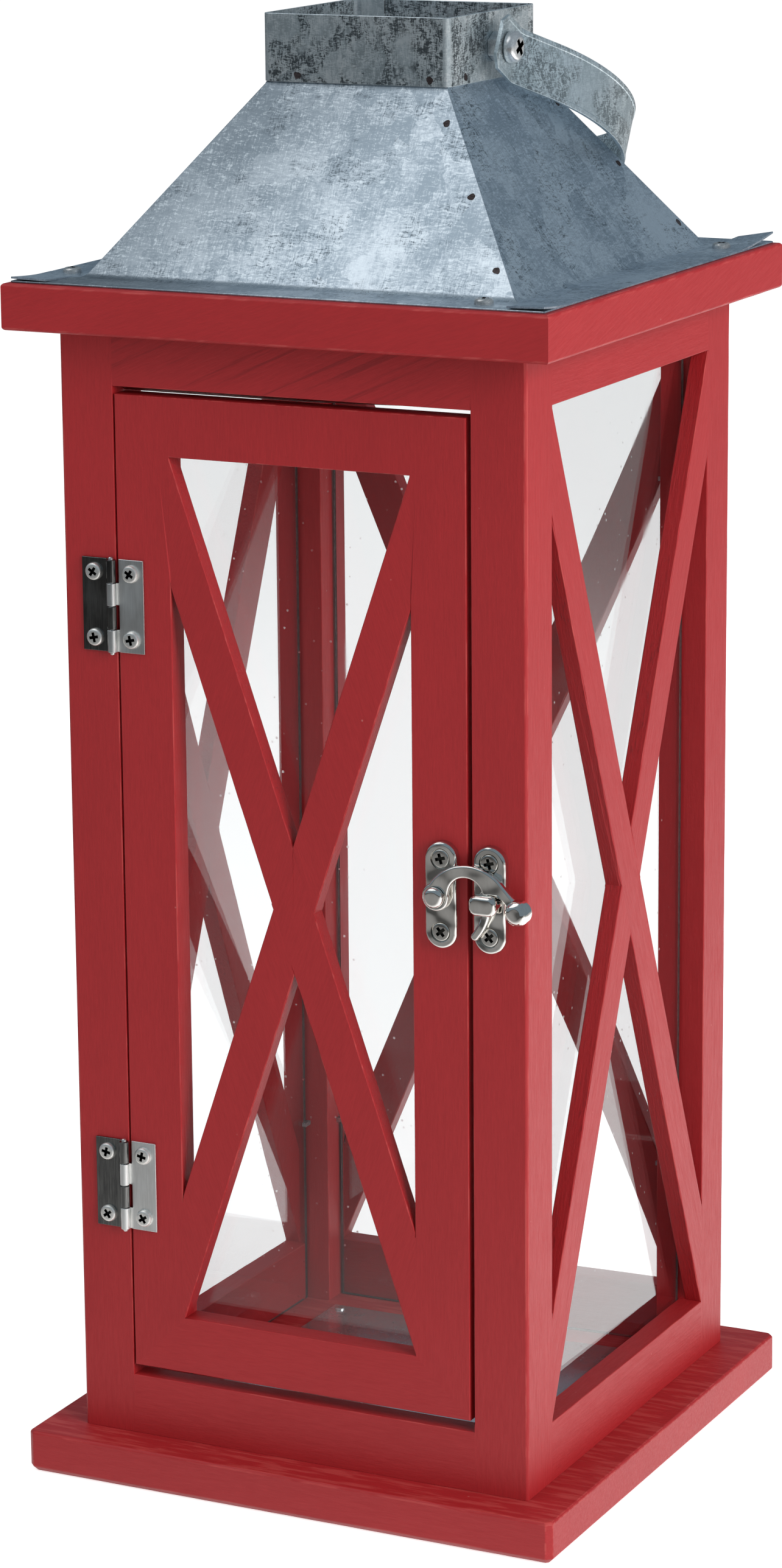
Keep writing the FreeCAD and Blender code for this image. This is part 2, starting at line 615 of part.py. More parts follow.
def roof_section(flange_half):
    """The folded sheet's corner points, from the flange's edge up to the neck, and its thickness."""
    under = [(flange_half, CAP_TOP), (ROOF_FOOT_SIDE / 2, CAP_TOP),
             (NECK_INNER_HALF, ROOF_TOP), (NECK_INNER_HALF, ROOF_TOP + NECK_HEIGHT)]
    normals = []
    for (r0, z0), (r1, z1) in zip(under, under[1:]):
        run = math.hypot(r1 - r0, z1 - z0)
        normals.append(((z1 - z0) / run, (r0 - r1) / run))
    over = []
    for index, (r, z) in enumerate(under):
        a = normals[max(index - 1, 0)]
        b = normals[min(index, len(normals) - 1)]
        stretch = SHEET_THICKNESS / (1 + a[0] * b[0] + a[1] * b[1])
        over.append((r + (a[0] + b[0]) * stretch, z + (a[1] + b[1]) * stretch))
    return under, over


def roof_panel():
    """The front panel: flange, slope and neck from one sheet, mitred along the hips.

    A tab on its left end lies under the next panel and is welded to it along the hip."""
    half = ROOF_FLANGE_SIDE / 2
    under, over = roof_section(half)
    outline = [(-half, -r, z) for r, z in under + over[::-1]]
    panel = prism(outline, ORIGIN, RIGHT * ROOF_FLANGE_SIDE)
    for index, radius in ((1, ROOF_FOOT_RADIUS), (2, ROOF_NECK_RADIUS)):
        for (r, z), bend in ((under[index], radius + SHEET_THICKNESS), (over[index], radius)):
            fold = edges_along(panel, RIGHT, lambda p: math.hypot(p.y + r, p.z - z) < SAME_PLACE)
            panel = panel.makeFillet(bend, fold)
    panel = panel.common(front_quarter(ROOF_FLANGE_SIDE, CAP_TOP, ROOF_TOP + ROOF_HEIGHT))
    neck_half = COLLAR_HALF - SHEET_THICKNESS - COLLAR_FOLD_RADIUS
    for ends in ((-half, -neck_half), (neck_half, half)):
        panel = panel.cut(box(*ends, -half, 0, COLLAR_BOTTOM - SAME_PLACE, ROOF_TOP + ROOF_HEIGHT))
    return panel.fuse(hip_tab(under)).removeSplitter()


def hip_tab(under):
    """The strip of the front panel that lies along the underside of the panel on its left."""
    (foot, foot_z), (neck, neck_z) = under[1:3]
    slope = math.hypot(foot - neck, neck_z - foot_z)
    sink = SHEET_THICKNESS * slope / (foot - neck)
    strip = upright_prism([(-foot, foot_z), (-neck, neck_z), (-neck, neck_z - sink), (-foot, foot_z - sink)],
                          -foot, 0)
    low = CAP_TOP + HIP_TAB_END_GAP
    high = ROOF_TOP - HIP_TAB_END_GAP
    reach = foot + HIP_TAB_WIDTH
    band = prism([(0, -HIP_TAB_WIDTH, low), (0, HIP_TAB_WIDTH, low),
                  (-reach, HIP_TAB_WIDTH - reach, low), (-reach, -HIP_TAB_WIDTH - reach, low)],
                 ORIGIN, UP * (high - low))
    above = [(-reach, -foot, foot_z), (-reach, -neck, neck_z), (-reach, -neck, neck_z + ROOF_HEIGHT),
             (-reach, -foot - ROOF_HEIGHT, neck_z + ROOF_HEIGHT), (-reach, -foot - ROOF_HEIGHT, foot_z)]
    return strip.common(band).cut(prism(above, ORIGIN, RIGHT * reach))


def square_tube(half, radius, z0, z1):
    """A square column with folded corners."""
    column = box(-half, half, -half, half, z0, z1)
    return column.makeFillet(radius, edges_along(column, UP, lambda p: True))


neck_lean = math.atan2(ROOF_FOOT_SIDE / 2 - NECK_INNER_HALF, ROOF_HEIGHT)
neck_corner = roof_section(ROOF_FLANGE_SIDE / 2)[1][2][1]
COLLAR_BOTTOM = neck_corner + ROOF_NECK_RADIUS * math.tan(neck_lean / 2)
COLLAR_TOP = COLLAR_BOTTOM + COLLAR_HEIGHT
HANDLE_Z = COLLAR_TOP - HANDLE_PIVOT_DROP
TAB_X = COLLAR_HALF + NUT_THICKNESS + HANDLE_PLAY


def chimney_collar():
    """A strip folded into a square, lapped on the inside of the rear left corner."""
    inner = COLLAR_HALF - SHEET_THICKNESS
    tube = square_tube(COLLAR_HALF, COLLAR_FOLD_RADIUS, COLLAR_BOTTOM, COLLAR_TOP)
    tube = tube.cut(square_tube(inner, COLLAR_FOLD_RADIUS - SHEET_THICKNESS, COLLAR_BOTTOM, COLLAR_TOP))
    lap_start = COLLAR_FOLD_RADIUS - inner
    lap = box(lap_start, lap_start + COLLAR_LAP, inner - SHEET_THICKNESS, inner,
              ROOF_TOP + NECK_HEIGHT + SHEET_THICKNESS, COLLAR_TOP)
    hole = Part.makeCylinder(HANDLE_SCREW_DIAMETER / 2 + HOLE_PLAY, COLLAR_SIDE,
                             FreeCAD.Vector(-COLLAR_HALF, 0, HANDLE_Z), RIGHT)
    return tube.fuse(lap).removeSplitter().cut(hole)


def roof_fasteners():
    """One screw through each flange, near the flange's right end."""
    middle = (ROOF_FLANGE_SIDE + ROOF_FOOT_SIDE) / 4
    place = FreeCAD.Vector(ROOF_SCREW_OFFSET, -middle, CAP_TOP + SHEET_THICKNESS)
    sample = screw(ROOF_SCREW_HEAD, ROOF_SCREW_RISE, ROOF_SCREW_SHANK, ROOF_SCREW_LENGTH)
    return sample.translated(place), drill(ROOF_SCREW_SHANK, ROOF_SCREW_LENGTH).translated(place)


roof_screw, roof_hole = roof_fasteners()
front_panel = roof_panel().cut(roof_hole)

# Handle


def strap_half(offset):
    """The right half of the strap's bend line, at a distance from its inner face, upright.

    The line runs from the middle of the crown round the arc, down the flare and to the tab."""
    flare = math.radians(HANDLE_FLARE)
    out = math.sin(flare)
    along = math.cos(flare)
    bend = FreeCAD.Vector(TAB_X + HANDLE_BEND_RADIUS, 0, HANDLE_BEND_RISE)
    centre_x = HANDLE_FLAT / 2
    span = HANDLE_ARC_RADIUS + HANDLE_BEND_RADIUS
    centre = FreeCAD.Vector(centre_x, 0, bend.z + ((centre_x - bend.x) * along + span) / out)
    big = HANDLE_ARC_RADIUS + offset
    small = HANDLE_BEND_RADIUS - offset
    crown = centre + polar(big, 90)
    shoulder = centre + polar(big, -HANDLE_FLARE)
    knee = bend + polar(small, 180 - HANDLE_FLARE)
    tab_top = bend + polar(small, 180)
    tab_end = FreeCAD.Vector(TAB_X + offset, 0, -HANDLE_TAB_END)
    middle = FreeCAD.Vector(0, 0, crown.z)
    edges = [
        Part.makeLine(middle, crown),
        arc(crown, centre + polar(big, (90 - HANDLE_FLARE) / 2), shoulder),
        Part.makeLine(shoulder, knee),
        arc(knee, bend + polar(small, 180 - HANDLE_FLARE / 2), tab_top),
        Part.makeLine(tab_top, tab_end),
    ]
    return edges, tab_end


def roof_clearance(angle):
    """The least distance from the roof to the strap's lower edge, at an angle below level."""
    foot = ROOF_FOOT_SIDE / 2
    slope = math.atan2(ROOF_HEIGHT, foot - NECK_INNER_HALF)
    turn = math.radians(angle)
    distances = []
    for edge in strap_half(0)[0]:
        for point in edge.discretize(HANDLE_SAMPLES):
            y = point.z * math.cos(turn) - HANDLE_WIDTH / 2 * math.sin(turn)
            z = HANDLE_Z - point.z * math.sin(turn) - HANDLE_WIDTH / 2 * math.cos(turn)
            outside = max(abs(point.x), abs(y)) - foot
            distances.append(outside * math.sin(slope) + (z - CAP_TOP) * math.cos(slope))
    return min(distances) - SHEET_THICKNESS


def rest_angle():
    """How far below level the strap lies when its lower edge comes down on the roof."""
    clear, blocked = 0.0, 90.0
    while blocked - clear > SAME_PLACE:
        middle = (clear + blocked) / 2
        if roof_clearance(middle) > HANDLE_ROOF_CLEARANCE:
            clear = middle
        else:
            blocked = middle
    return clear


def handle_strap():
    """A flat strap bent to a bow, with clipped and drilled tabs, lying back on the roof."""
    inner_edges, inner_end = strap_half(0)
    outer_edges, outer_end = strap_half(HANDLE_THICKNESS)
    right_half = inner_edges + outer_edges + [Part.makeLine(inner_end, outer_end)]
    left_half = [edge.mirror(ORIGIN, RIGHT) for edge in right_half]
    outline = Part.Wire(Part.__sortEdges__(right_half + left_half))
    strap = Part.Face(outline).extrude(FORWARD * HANDLE_WIDTH)
    strap.translate(FORWARD * (-HANDLE_WIDTH / 2))
    tab_corners = edges_along(strap, RIGHT, lambda p: p.z < SAME_PLACE - HANDLE_TAB_END)
    strap = strap.makeChamfer(HANDLE_TAB_CLIP, tab_corners)
    hole_radius = HANDLE_SCREW_DIAMETER / 2 + HANDLE_HOLE_PLAY
    for sign in (-1, 1):
        strap = strap.cut(Part.makeCylinder(hole_radius, COLLAR_SIDE, ORIGIN, RIGHT * sign))
    strap.rotate(ORIGIN, RIGHT, -90 - rest_angle())
    return strap.translated(UP * HANDLE_Z)


def nut():
    """A hexagon nut that stands on the XY plane."""
    half = NUT_ACROSS_FLATS / 2
    block = box(-NUT_ACROSS_FLATS, NUT_ACROSS_FLATS, -half, half, 0, NUT_THICKNESS)
    body = block
    for angle in (60, 120):
        turned = block.copy()
        turned.rotate(ORIGIN, UP, angle)
        body = body.common(turned)
    return body.cut(Part.makeCylinder(HANDLE_SCREW_DIAMETER / 2 + HOLE_PLAY, NUT_THICKNESS))


def handle_fasteners():
    """A machine screw at each end of the handle, held to the collar between two nuts."""
    seat = TAB_X + HANDLE_THICKNESS + HANDLE_PLAY / 2
    inner_face = COLLAR_HALF - SHEET_THICKNESS
    length = seat - inner_face + NUT_THICKNESS + HANDLE_SCREW_END
    pan = faceted(HANDLE_SCREW_HEAD / 2, HEAD_SIDES, 0, HANDLE_SCREW_RISE)
    stem = Part.makeCylinder(HANDLE_SCREW_DIAMETER / 2, length, ORIGIN, DOWN)
    sample = pan.fuse(stem).removeSplitter()
    screws = []
    nuts = []
    for sign in (-1, 1):
        outward = RIGHT * sign
        screws.append(facing(sample, outward, FreeCAD.Vector(sign * seat, 0, HANDLE_Z)))
        nuts.append(facing(nut(), outward, FreeCAD.Vector(sign * COLLAR_HALF, 0, HANDLE_Z)))
        nuts.append(facing(nut(), outward * -1, FreeCAD.Vector(sign * inner_face, 0, HANDLE_Z)))
    return screws, nuts


# Files

os.makedirs("parts", exist_ok=True)

save("base_board", base_board().cut(base_holes + tack_holes))
save("base_nails", *carcase_nails(0, DOWN, BASE_THICKNESS, 0))
save("candle_plate", plate)
save("plate_tacks", *plate_tacks)

catch_holes = [facing(latch_hole, FORWARD, place) for place in catch_screw_places]
post_holes = sprig_holes + base_holes + cap_holes + hinge_holes["frame"] + catch_holes
for depth, y_sign in (("front", -1), ("rear", 1)):
    for side, x_sign in (("left", -1), ("right", 1)):
        save(f"{depth}_{side}_post", post(x_sign, y_sign).cut(post_holes))

for side in QUARTER_TURNS:
    bottom_rail = box(-OPENING_HALF, OPENING_HALF, FRONT, FRONT + RAIL_THICKNESS, FLOOR, SILL)
    top_rail = box(-OPENING_HALF, OPENING_HALF, FRONT, FRONT + RAIL_THICKNESS, HEAD, CAP_BOTTOM)
    save(f"{side}_bottom_rail", quarter_turned(bottom_rail, side))
    save(f"{side}_top_rail", quarter_turned(top_rail, side))
    save(f"cap_{side}_board", quarter_turned(cap_board(), side).cut(cap_holes + [
        quarter_turned(roof_hole, each) for each in QUARTER_TURNS]))
    save(f"roof_{side}_panel", quarter_turned(front_panel, side))

for side in PANEL_SIDES:
    braces = brace_pair(-OPENING_HALF, OPENING_HALF, SILL, HEAD, FRONT, FRONT + BRACE_THICKNESS)
    for run, brace in braces.items():
        save(f"{side}_{run}_brace", quarter_turned(brace, side))
    save(f"{side}_pane", quarter_turned(pane(), side))
save("glazing_sprigs", *sprigs)

save("cap_nails", *carcase_nails(CAP_TOP, UP, CAP_THICKNESS, 0))
save("roof_screws", *[quarter_turned(roof_screw, side) for side in QUARTER_TURNS])
save("chimney_collar", chimney_collar())
handle_screws, handle_nuts = handle_fasteners()
save("handle_screws", *handle_screws)
save("handle_nuts", *handle_nuts)
save("handle_strap", handle_strap())

for name, leaf in leaves.items():
    save(name, leaf)
save("hinge_pins", *hinge_pins)
save("frame_hardware_screws", *hinge_screws["frame"],
     *[facing(latch_screw, FORWARD, place) for place in catch_screw_places])
save("latch_catch_plate", catch_plate)

for name, member in door_members.items():
    save(f"door_{name}", member)
for run, brace in brace_pair(*door_opening, FRONT, FRONT + BRACE_THICKNESS).items():
    save(f"door_{run}_brace", brace)
save("door_pane", door_pane)
save("door_glazing_brads", *brads)
save("door_hardware_screws", *hinge_screws["door"],
     *[facing(latch_screw, FORWARD, place) for place in pivot_screw_places])
save("latch_pivot_plate", pivot_plate)
save("latch_rivet", latch_rivet().translated(latch_origin))
save("latch_arm", latch_arm)
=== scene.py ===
import json
import math
from contextlib import contextmanager

import bmesh
import bpy
from mathutils import Euler, Matrix, Vector, noise
from mathutils.bvhtree import BVHTree


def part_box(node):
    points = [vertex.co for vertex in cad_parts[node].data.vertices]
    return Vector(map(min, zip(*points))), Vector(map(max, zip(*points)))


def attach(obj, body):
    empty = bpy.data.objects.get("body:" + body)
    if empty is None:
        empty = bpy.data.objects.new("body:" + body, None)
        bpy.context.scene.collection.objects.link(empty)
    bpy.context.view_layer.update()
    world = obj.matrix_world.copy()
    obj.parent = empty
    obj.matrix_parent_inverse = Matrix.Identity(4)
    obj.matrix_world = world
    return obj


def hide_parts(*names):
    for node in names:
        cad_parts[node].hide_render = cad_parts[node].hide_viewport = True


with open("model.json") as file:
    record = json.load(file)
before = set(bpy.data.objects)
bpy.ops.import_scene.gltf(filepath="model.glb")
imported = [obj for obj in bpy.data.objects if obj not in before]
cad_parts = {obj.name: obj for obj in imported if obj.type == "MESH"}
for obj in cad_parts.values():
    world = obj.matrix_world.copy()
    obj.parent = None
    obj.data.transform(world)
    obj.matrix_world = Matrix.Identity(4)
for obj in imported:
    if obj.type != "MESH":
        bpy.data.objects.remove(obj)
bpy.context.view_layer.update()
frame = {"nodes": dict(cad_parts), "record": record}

MM = 0.001

# Base board: one square softwood board, its lower edges and corners rounded over.
# It is nailed to the posts from below and brushed all over with a satin red paint,
# which wears thin along the edges. The nails are cut from square zinc coated wire.

FLAT_WITHIN = math.radians(0.5)
SHARP_FROM = math.radians(25)
SMOOTH_UP_TO = math.radians(50)
MERGE_WITHIN = 0.002 * MM


def alone(piece):
    """Makes one piece the only thing that the next operators act on."""
    bpy.ops.object.select_all(action="DESELECT")
    piece.select_set(True)
    bpy.context.view_layer.objects.active = piece


@contextmanager
def editing(piece):
    """Opens one piece in edit mode, and closes it again."""
    alone(piece)
    bpy.ops.object.mode_set(mode="EDIT")
    yield
    bpy.ops.object.mode_set(mode="OBJECT")


def pick(piece, kind, wanted):
    """In edit mode, selects just the faces or edges that a test wants, and counts them."""
    bpy.ops.mesh.select_mode(type=kind)
    bpy.ops.mesh.select_all(action="DESELECT")
    mesh = bmesh.from_edit_mesh(piece.data)
    parts = mesh.faces if kind == "FACE" else mesh.edges
    for part in parts:
        part.select_set(wanted(part))
    bmesh.update_edit_mesh(piece.data)
    return sum(part.select for part in parts)


def taken_from(node, name):
    """A piece that starts as a copy of a solid, its loose triangles merged into flat faces."""
    piece = bpy.data.objects.new(name, frame["nodes"][node].data.copy())
    bpy.context.scene.collection.objects.link(piece)
    alone(piece)
    bpy.ops.mesh.customdata_custom_splitnormals_clear()
    with editing(piece):
        bpy.ops.mesh.select_all(action="SELECT")
        bpy.ops.mesh.remove_doubles(threshold=MERGE_WITHIN)
        bpy.ops.mesh.dissolve_limited(angle_limit=FLAT_WITHIN)
    return piece


def finished_with(piece, kind, **settings):
    """Adds a modifier to a piece and applies it."""
    alone(piece)
    bpy.ops.object.modifier_add(type=kind)
    for key, value in settings.items():
        setattr(piece.modifiers[-1], key, value)
    bpy.ops.object.modifier_apply(modifier=piece.modifiers[-1].name)


def smoothed(piece):
    """Smooth shading over the rounded edges, with the large flat faces kept flat."""
    alone(piece)
    bpy.ops.object.shade_smooth_by_angle(angle=SMOOTH_UP_TO)
    finished_with(piece, "WEIGHTED_NORMAL", keep_sharp=True)


def stands_out(edge, shortest):
    """Whether an edge is sharp, points outwards and is longer than a length."""
    sharp = edge.is_convex and edge.calc_face_angle(0) > SHARP_FROM
    return sharp and edge.calc_length() > shortest


def rounded(piece, width, segments):
    """Rounds the selected edges over and marks the rounded strips for the wear."""
    bpy.ops.mesh.bevel(offset=width, segments=segments, affect="EDGES", clamp_overlap=False)
    mesh = bmesh.from_edit_mesh(piece.data)
    layers = mesh.faces.layers.float
    strips = layers.get("rounded_edge") or layers.new("rounded_edge")
    for face in mesh.faces:
        face[strips] = max(face[strips], float(face.select))
    bmesh.update_edit_mesh(piece.data)


def eased(piece, width, segments, shortest):
    """A metal or glass piece with its outer edges broken."""
    with editing(piece):
        pick(piece, "EDGE", lambda edge: stands_out(edge, shortest))
        rounded(piece, width, segments)
    smoothed(piece)


BORE_BREADTH = 2.7 * MM
BORE_DEPTH = 26 * MM
HOLLOW_FROM = 0.05


def is_bore_wall(face):
    """Whether a face is a wall of a nail or screw hole."""
    lengths = sorted(edge.calc_length() for edge in face.edges)
    hollow = [edge for edge in face.edges if not edge.is_convex and edge.calc_face_angle(0) > HOLLOW_FROM]
    return lengths[0] < BORE_BREADTH and lengths[-1] < BORE_DEPTH and len(hollow) > 1


def bores_filled(piece):
    """Fills the nail and screw holes, which the fasteners take up."""
    pick(piece, "FACE", is_bore_wall)
    bpy.ops.mesh.delete(type="FACE")
    bpy.ops.mesh.select_mode(type="EDGE")
    mesh = bmesh.from_edit_mesh(piece.data)
    rims = [edge for edge in mesh.edges if edge.is_boundary]
    if rims:
        bmesh.ops.edgeloop_fill(mesh, edges=rims)
        bmesh.update_edit_mesh(piece.data)
    bpy.ops.mesh.select_all(action="SELECT")
    bpy.ops.mesh.normals_make_consistent(inside=False)
    bpy.ops.mesh.dissolve_limited(angle_limit=FLAT_WITHIN)


def solid_tree(node):
    """A solid's surface, for finding what touches it."""
    mesh = frame["nodes"][node].data
    return BVHTree.FromPolygons([v.co for v in mesh.vertices], [f.vertices for f in mesh.polygons])


WOODEN = [part["node"] for part in frame["record"]["subparts"] if part["material_slot"] == "painted_wood"]
wood_trees = {node: solid_tree(node) for node in WOODEN}
EDGE_STEP = 5 * MM
TOUCHING = 0.06 * MM
WOOD_EASE = 0.28 * MM
UNEVEN_SCALE = 240
UNEVEN_BIAS = 0.15


def wooden(node, unevenness):
    """A wooden piece: its free edges are rounded by sanding and a little uneven under the paint,
    while the edges along a joint stay tight, because paint fills them."""
    piece = taken_from(node, f"{node}_painted")
    others = [tree for name, tree in wood_trees.items() if name != node]

    def is_free(edge):
        middle = (edge.verts[0].co + edge.verts[1].co) / 2
        return not any(tree.find_nearest(middle, TOUCHING)[0] for tree in others)

    with editing(piece):
        bores_filled(piece)
        while pick(piece, "EDGE", lambda edge: stands_out(edge, EDGE_STEP)):
            bpy.ops.mesh.subdivide(number_cuts=1)
        pick(piece, "EDGE", lambda edge: stands_out(edge, WOOD_EASE) and is_free(edge))
        rounded(piece, WOOD_EASE, 2)
        mesh = bmesh.from_edit_mesh(piece.data)
        strips = mesh.faces.layers.float["rounded_edge"]
        for vert in mesh.verts:
            if all(face[strips] for face in vert.link_faces):
                sanded = max(0.0, noise.noise(vert.co * UNEVEN_SCALE) + UNEVEN_BIAS)
                vert.co -= vert.normal * unevenness * sanded
        bmesh.update_edit_mesh(piece.data)
    smoothed(piece)
    return piece


def fitted(piece, material, body, finish, *nodes):
    """Gives a piece its material and its body, and hides the nodes it stands for. The finish is not used."""
    piece.data.materials.clear()
    piece.data.materials.append(material)
    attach(piece, body)
    if nodes:
        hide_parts(*nodes)
    return piece


PLANED = 0.12 * MM


def painted(node, paint, body="frame", unevenness=PLANED):
    """A wooden piece in its paint."""
    return fitted(wooden(node, unevenness), paint, body, "painted_wood", node)


def add_node(tree, kind, values=None, **settings):
    """A shader node with its settings and the values of its open inputs."""
    made = tree.nodes.new(kind)
    for key, value in settings.items():
        setattr(made, key, value)
    for key, value in (values or {}).items():
        made.inputs[key].default_value = value
    return made


def reckon(tree, operation, first, second, third=None):
    """A sum, product or other reckoning on sockets or plain numbers."""
    made = add_node(tree, "ShaderNodeMath", operation=operation)
    for index, value in enumerate((first, second, third)):
        if isinstance(value, bpy.types.NodeSocket):
            tree.links.new(value, made.inputs[index])
        elif value is not None:
            made.inputs[index].default_value = value
    return made.outputs[0]


def weighed(tree, *shares):
    """A sum of several values, each with its share."""
    total = 0.0
    for value, share in shares:
        total = reckon(tree, "MULTIPLY_ADD", value, share, total)
    return total


def ranged(tree, value, low, high, to_low=0.0, to_high=1.0):
    """A value carried smoothly from one range to another, and held there."""
    limits = {"From Min": low, "From Max": high, "To Min": to_low, "To Max": to_high}
    made = add_node(tree, "ShaderNodeMapRange", limits, interpolation_type="SMOOTHSTEP")
    tree.links.new(value, made.inputs["Value"])
    return made.outputs["Result"]


def blended(tree, mask, first, second):
    """Two colours, or a socket and a colour, mixed by a mask."""
    made = add_node(tree, "ShaderNodeMix", data_type="RGBA")
    tree.links.new(mask, made.inputs["Factor"])
    for name, colour in (("A", first), ("B", second)):
        socket = [s for s in made.inputs if s.name == name and s.type == "RGBA"][0]
        if isinstance(colour, bpy.types.NodeSocket):
            tree.links.new(colour, socket)
        else:
            socket.default_value = (*colour, 1)
    return [s for s in made.outputs if s.type == "RGBA"][0]


def laid_over(tree, coat, mask, share, colour):
    """A colour laid over a coat by a share of a mask."""
    return blended(tree, reckon(tree, "MULTIPLY", mask, share), coat, colour)


def drawn_noise(tree, vector, scale, detail):
    """Noise stretched by a different scale, per metre, on each axis."""
    mapping = add_node(tree, "ShaderNodeMapping", {"Scale": scale})
    cloud = add_node(tree, "ShaderNodeTexNoise", {"Scale": 1.0, "Detail": detail, "Roughness": 0.6})
    tree.links.new(vector, mapping.inputs["Vector"])
    tree.links.new(mapping.outputs["Vector"], cloud.inputs["Vector"])
    return cloud.outputs["Fac"]


def cells(tree, vector, scale):
    """Scattered cells, with their distances and colours."""
    made = add_node(tree, "ShaderNodeTexVoronoi", {"Scale": scale})
    tree.links.new(vector, made.inputs["Vector"])
    return made.outputs


def new_group(name, *numbers):
    """A node group that takes in a place on the piece and some numbers, and its inputs."""
    group = bpy.data.node_groups.new(name, "ShaderNodeTree")
    group.interface.new_socket("Vector", in_out="INPUT", socket_type="NodeSocketVector")
    for number in numbers:
        group.interface.new_socket(number, in_out="INPUT", socket_type="NodeSocketFloat")
    return group, group.nodes.new("NodeGroupInput").outputs


def put_out(group, **results):
    """Gives a node group its named results."""
    for name in results:
        group.interface.new_socket(name, in_out="OUTPUT", socket_type="NodeSocketFloat")
    end = group.nodes.new("NodeGroupOutput")
    for name, socket in results.items():
        group.links.new(socket, end.inputs[name])
    return group


def brush_mark_group():
    """Brush strokes along Z, soft blotches, specks of dust, worn edges, saw marks and grain."""
    group, given = new_group("brush_marks", "Edge", "Sawn")
    vector = given["Vector"]
    strokes = drawn_noise(group, vector, (1000, 1000, 90), 3)
    bristles = drawn_noise(group, vector, (2600, 2600, 260), 2)
    ripple = drawn_noise(group, vector, (1300, 1300, 900), 3)
    clouds = drawn_noise(group, vector, (30, 30, 12), 3)
    saw = drawn_noise(group, vector, (1700, 1700, 260), 4)
    patches = drawn_noise(group, vector, (160, 160, 60), 3)
    rubbed = drawn_noise(group, vector, (420, 420, 55), 4)
    streaks = drawn_noise(group, vector, (650, 650, 16), 4)
    teeth = reckon(group, "MULTIPLY", saw, given["Sawn"])
    torn = reckon(group, "MULTIPLY", ranged(group, patches, 0.48, 0.6), given["Sawn"])
    dust = ranged(group, cells(group, vector, 95.0)["Distance"], 0.015, 0.035, 1.0, 0.0)
    return put_out(
        group,
        Tone=weighed(group, (strokes, 0.25), (bristles, 0.4), (clouds, 0.35)),
        Height=weighed(group, (strokes, 0.5), (bristles, 0.25), (ripple, 0.25), (teeth, 1.6)),
        Speck=reckon(group, "MULTIPLY", dust, ranged(group, patches, 0.5, 0.6)),
        Wear=reckon(group, "MULTIPLY", given["Edge"], ranged(group, rubbed, 0.46, 0.62)),
        Pore=reckon(group, "MULTIPLY", ranged(group, saw, 0.54, 0.64), torn),
        Grain=ranged(group, streaks, 0.52, 0.66))


brush_marks = brush_mark_group()


def new_material(name):
    """A material with its one shader, and the tree that holds them."""
    material = bpy.data.materials.new(name)
    material.use_nodes = True
    return material, material.node_tree, material.node_tree.nodes["Principled BSDF"]


def on_piece(tree):
    """The place on the piece, in its own coordinates."""
    return add_node(tree, "ShaderNodeTexCoord").outputs["Object"]


def mark(tree, name):
    """A mark that some faces of a piece carry."""
    return add_node(tree, "ShaderNodeAttribute", attribute_name=name).outputs["Fac"]


def placed(tree, group, **inputs):
    """A node group placed in a material, and its outputs."""
    made = add_node(tree, "ShaderNodeGroup", node_tree=group)
    for name, socket in inputs.items():
        tree.links.new(socket, made.inputs[name])
    return made.outputs


def bumped(tree, shader, height, strength, distance):
    """A height that reaches the shader's normal."""
    bump = add_node(tree, "ShaderNodeBump", {"Strength": strength, "Distance": distance})
    tree.links.new(height, bump.inputs["Height"])
    tree.links.new(bump.outputs["Normal"], shader.inputs["Normal"])


PAINT_DARK = (0.360, 0.0130, 0.0165)
PAINT_LIGHT = (0.430, 0.0175, 0.0215)
GRAIN_DARK = (0.15, 0.006, 0.008)
PORE_DARK = (0.15, 0.010, 0.012)
RUBBED_RED = (0.60, 0.10, 0.09)
DUST_PINK = (0.66, 0.30, 0.27)


def red_paint(name, turn, grain=0.0):
    """Red brushed paint, its strokes turned to run along the piece, with some grain showing through."""
    material, tree, shader = new_material(name)
    turned = add_node(tree, "ShaderNodeMapping", {"Rotation": turn})
    tree.links.new(on_piece(tree), turned.inputs["Vector"])
    marks = placed(tree, brush_marks, Vector=turned.outputs["Vector"],
                   Edge=mark(tree, "rounded_edge"), Sawn=mark(tree, "sawn_face"))
    coat = blended(tree, ranged(tree, marks["Tone"], 0.3, 0.7), PAINT_DARK, PAINT_LIGHT)
    if grain:
        coat = laid_over(tree, coat, marks["Grain"], grain, GRAIN_DARK)
    coat = laid_over(tree, coat, marks["Pore"], 0.5, PORE_DARK)
    coat = laid_over(tree, coat, marks["Wear"], 0.4, RUBBED_RED)
    coat = laid_over(tree, coat, marks["Speck"], 0.4, DUST_PINK)
    tree.links.new(coat, shader.inputs["Base Color"])
    tree.links.new(ranged(tree, marks["Height"], 0.3, 0.7, 0.58, 0.46), shader.inputs["Roughness"])
    bumped(tree, shader, marks["Height"], 0.9, 0.13 * MM)
    return material


UPRIGHT = (0, 0, 0)
ACROSS = (0, -math.pi / 2, 0)
DEEP = (math.pi / 2, 0, 0)
paint_upright = red_paint("red_paint_upright", UPRIGHT)
paint_across = red_paint("red_paint_across", ACROSS)
paint_deep = red_paint("red_paint_deep", DEEP)
painted("base_board", paint_across)


def shaken(tree, vector, scale, detail, reach):
    """A place moved about by noise, so that what is drawn there wavers."""
    warp = add_node(tree, "ShaderNodeTexNoise", {"Scale": scale, "Detail": detail})
    tree.links.new(vector, warp.inputs["Vector"])
    moved = add_node(tree, "ShaderNodeVectorMath", {1: (reach, reach, reach)}, operation="MULTIPLY_ADD")
    tree.links.new(warp.outputs["Color"], moved.inputs[0])
    tree.links.new(vector, moved.inputs[2])
    return moved.outputs["Vector"]


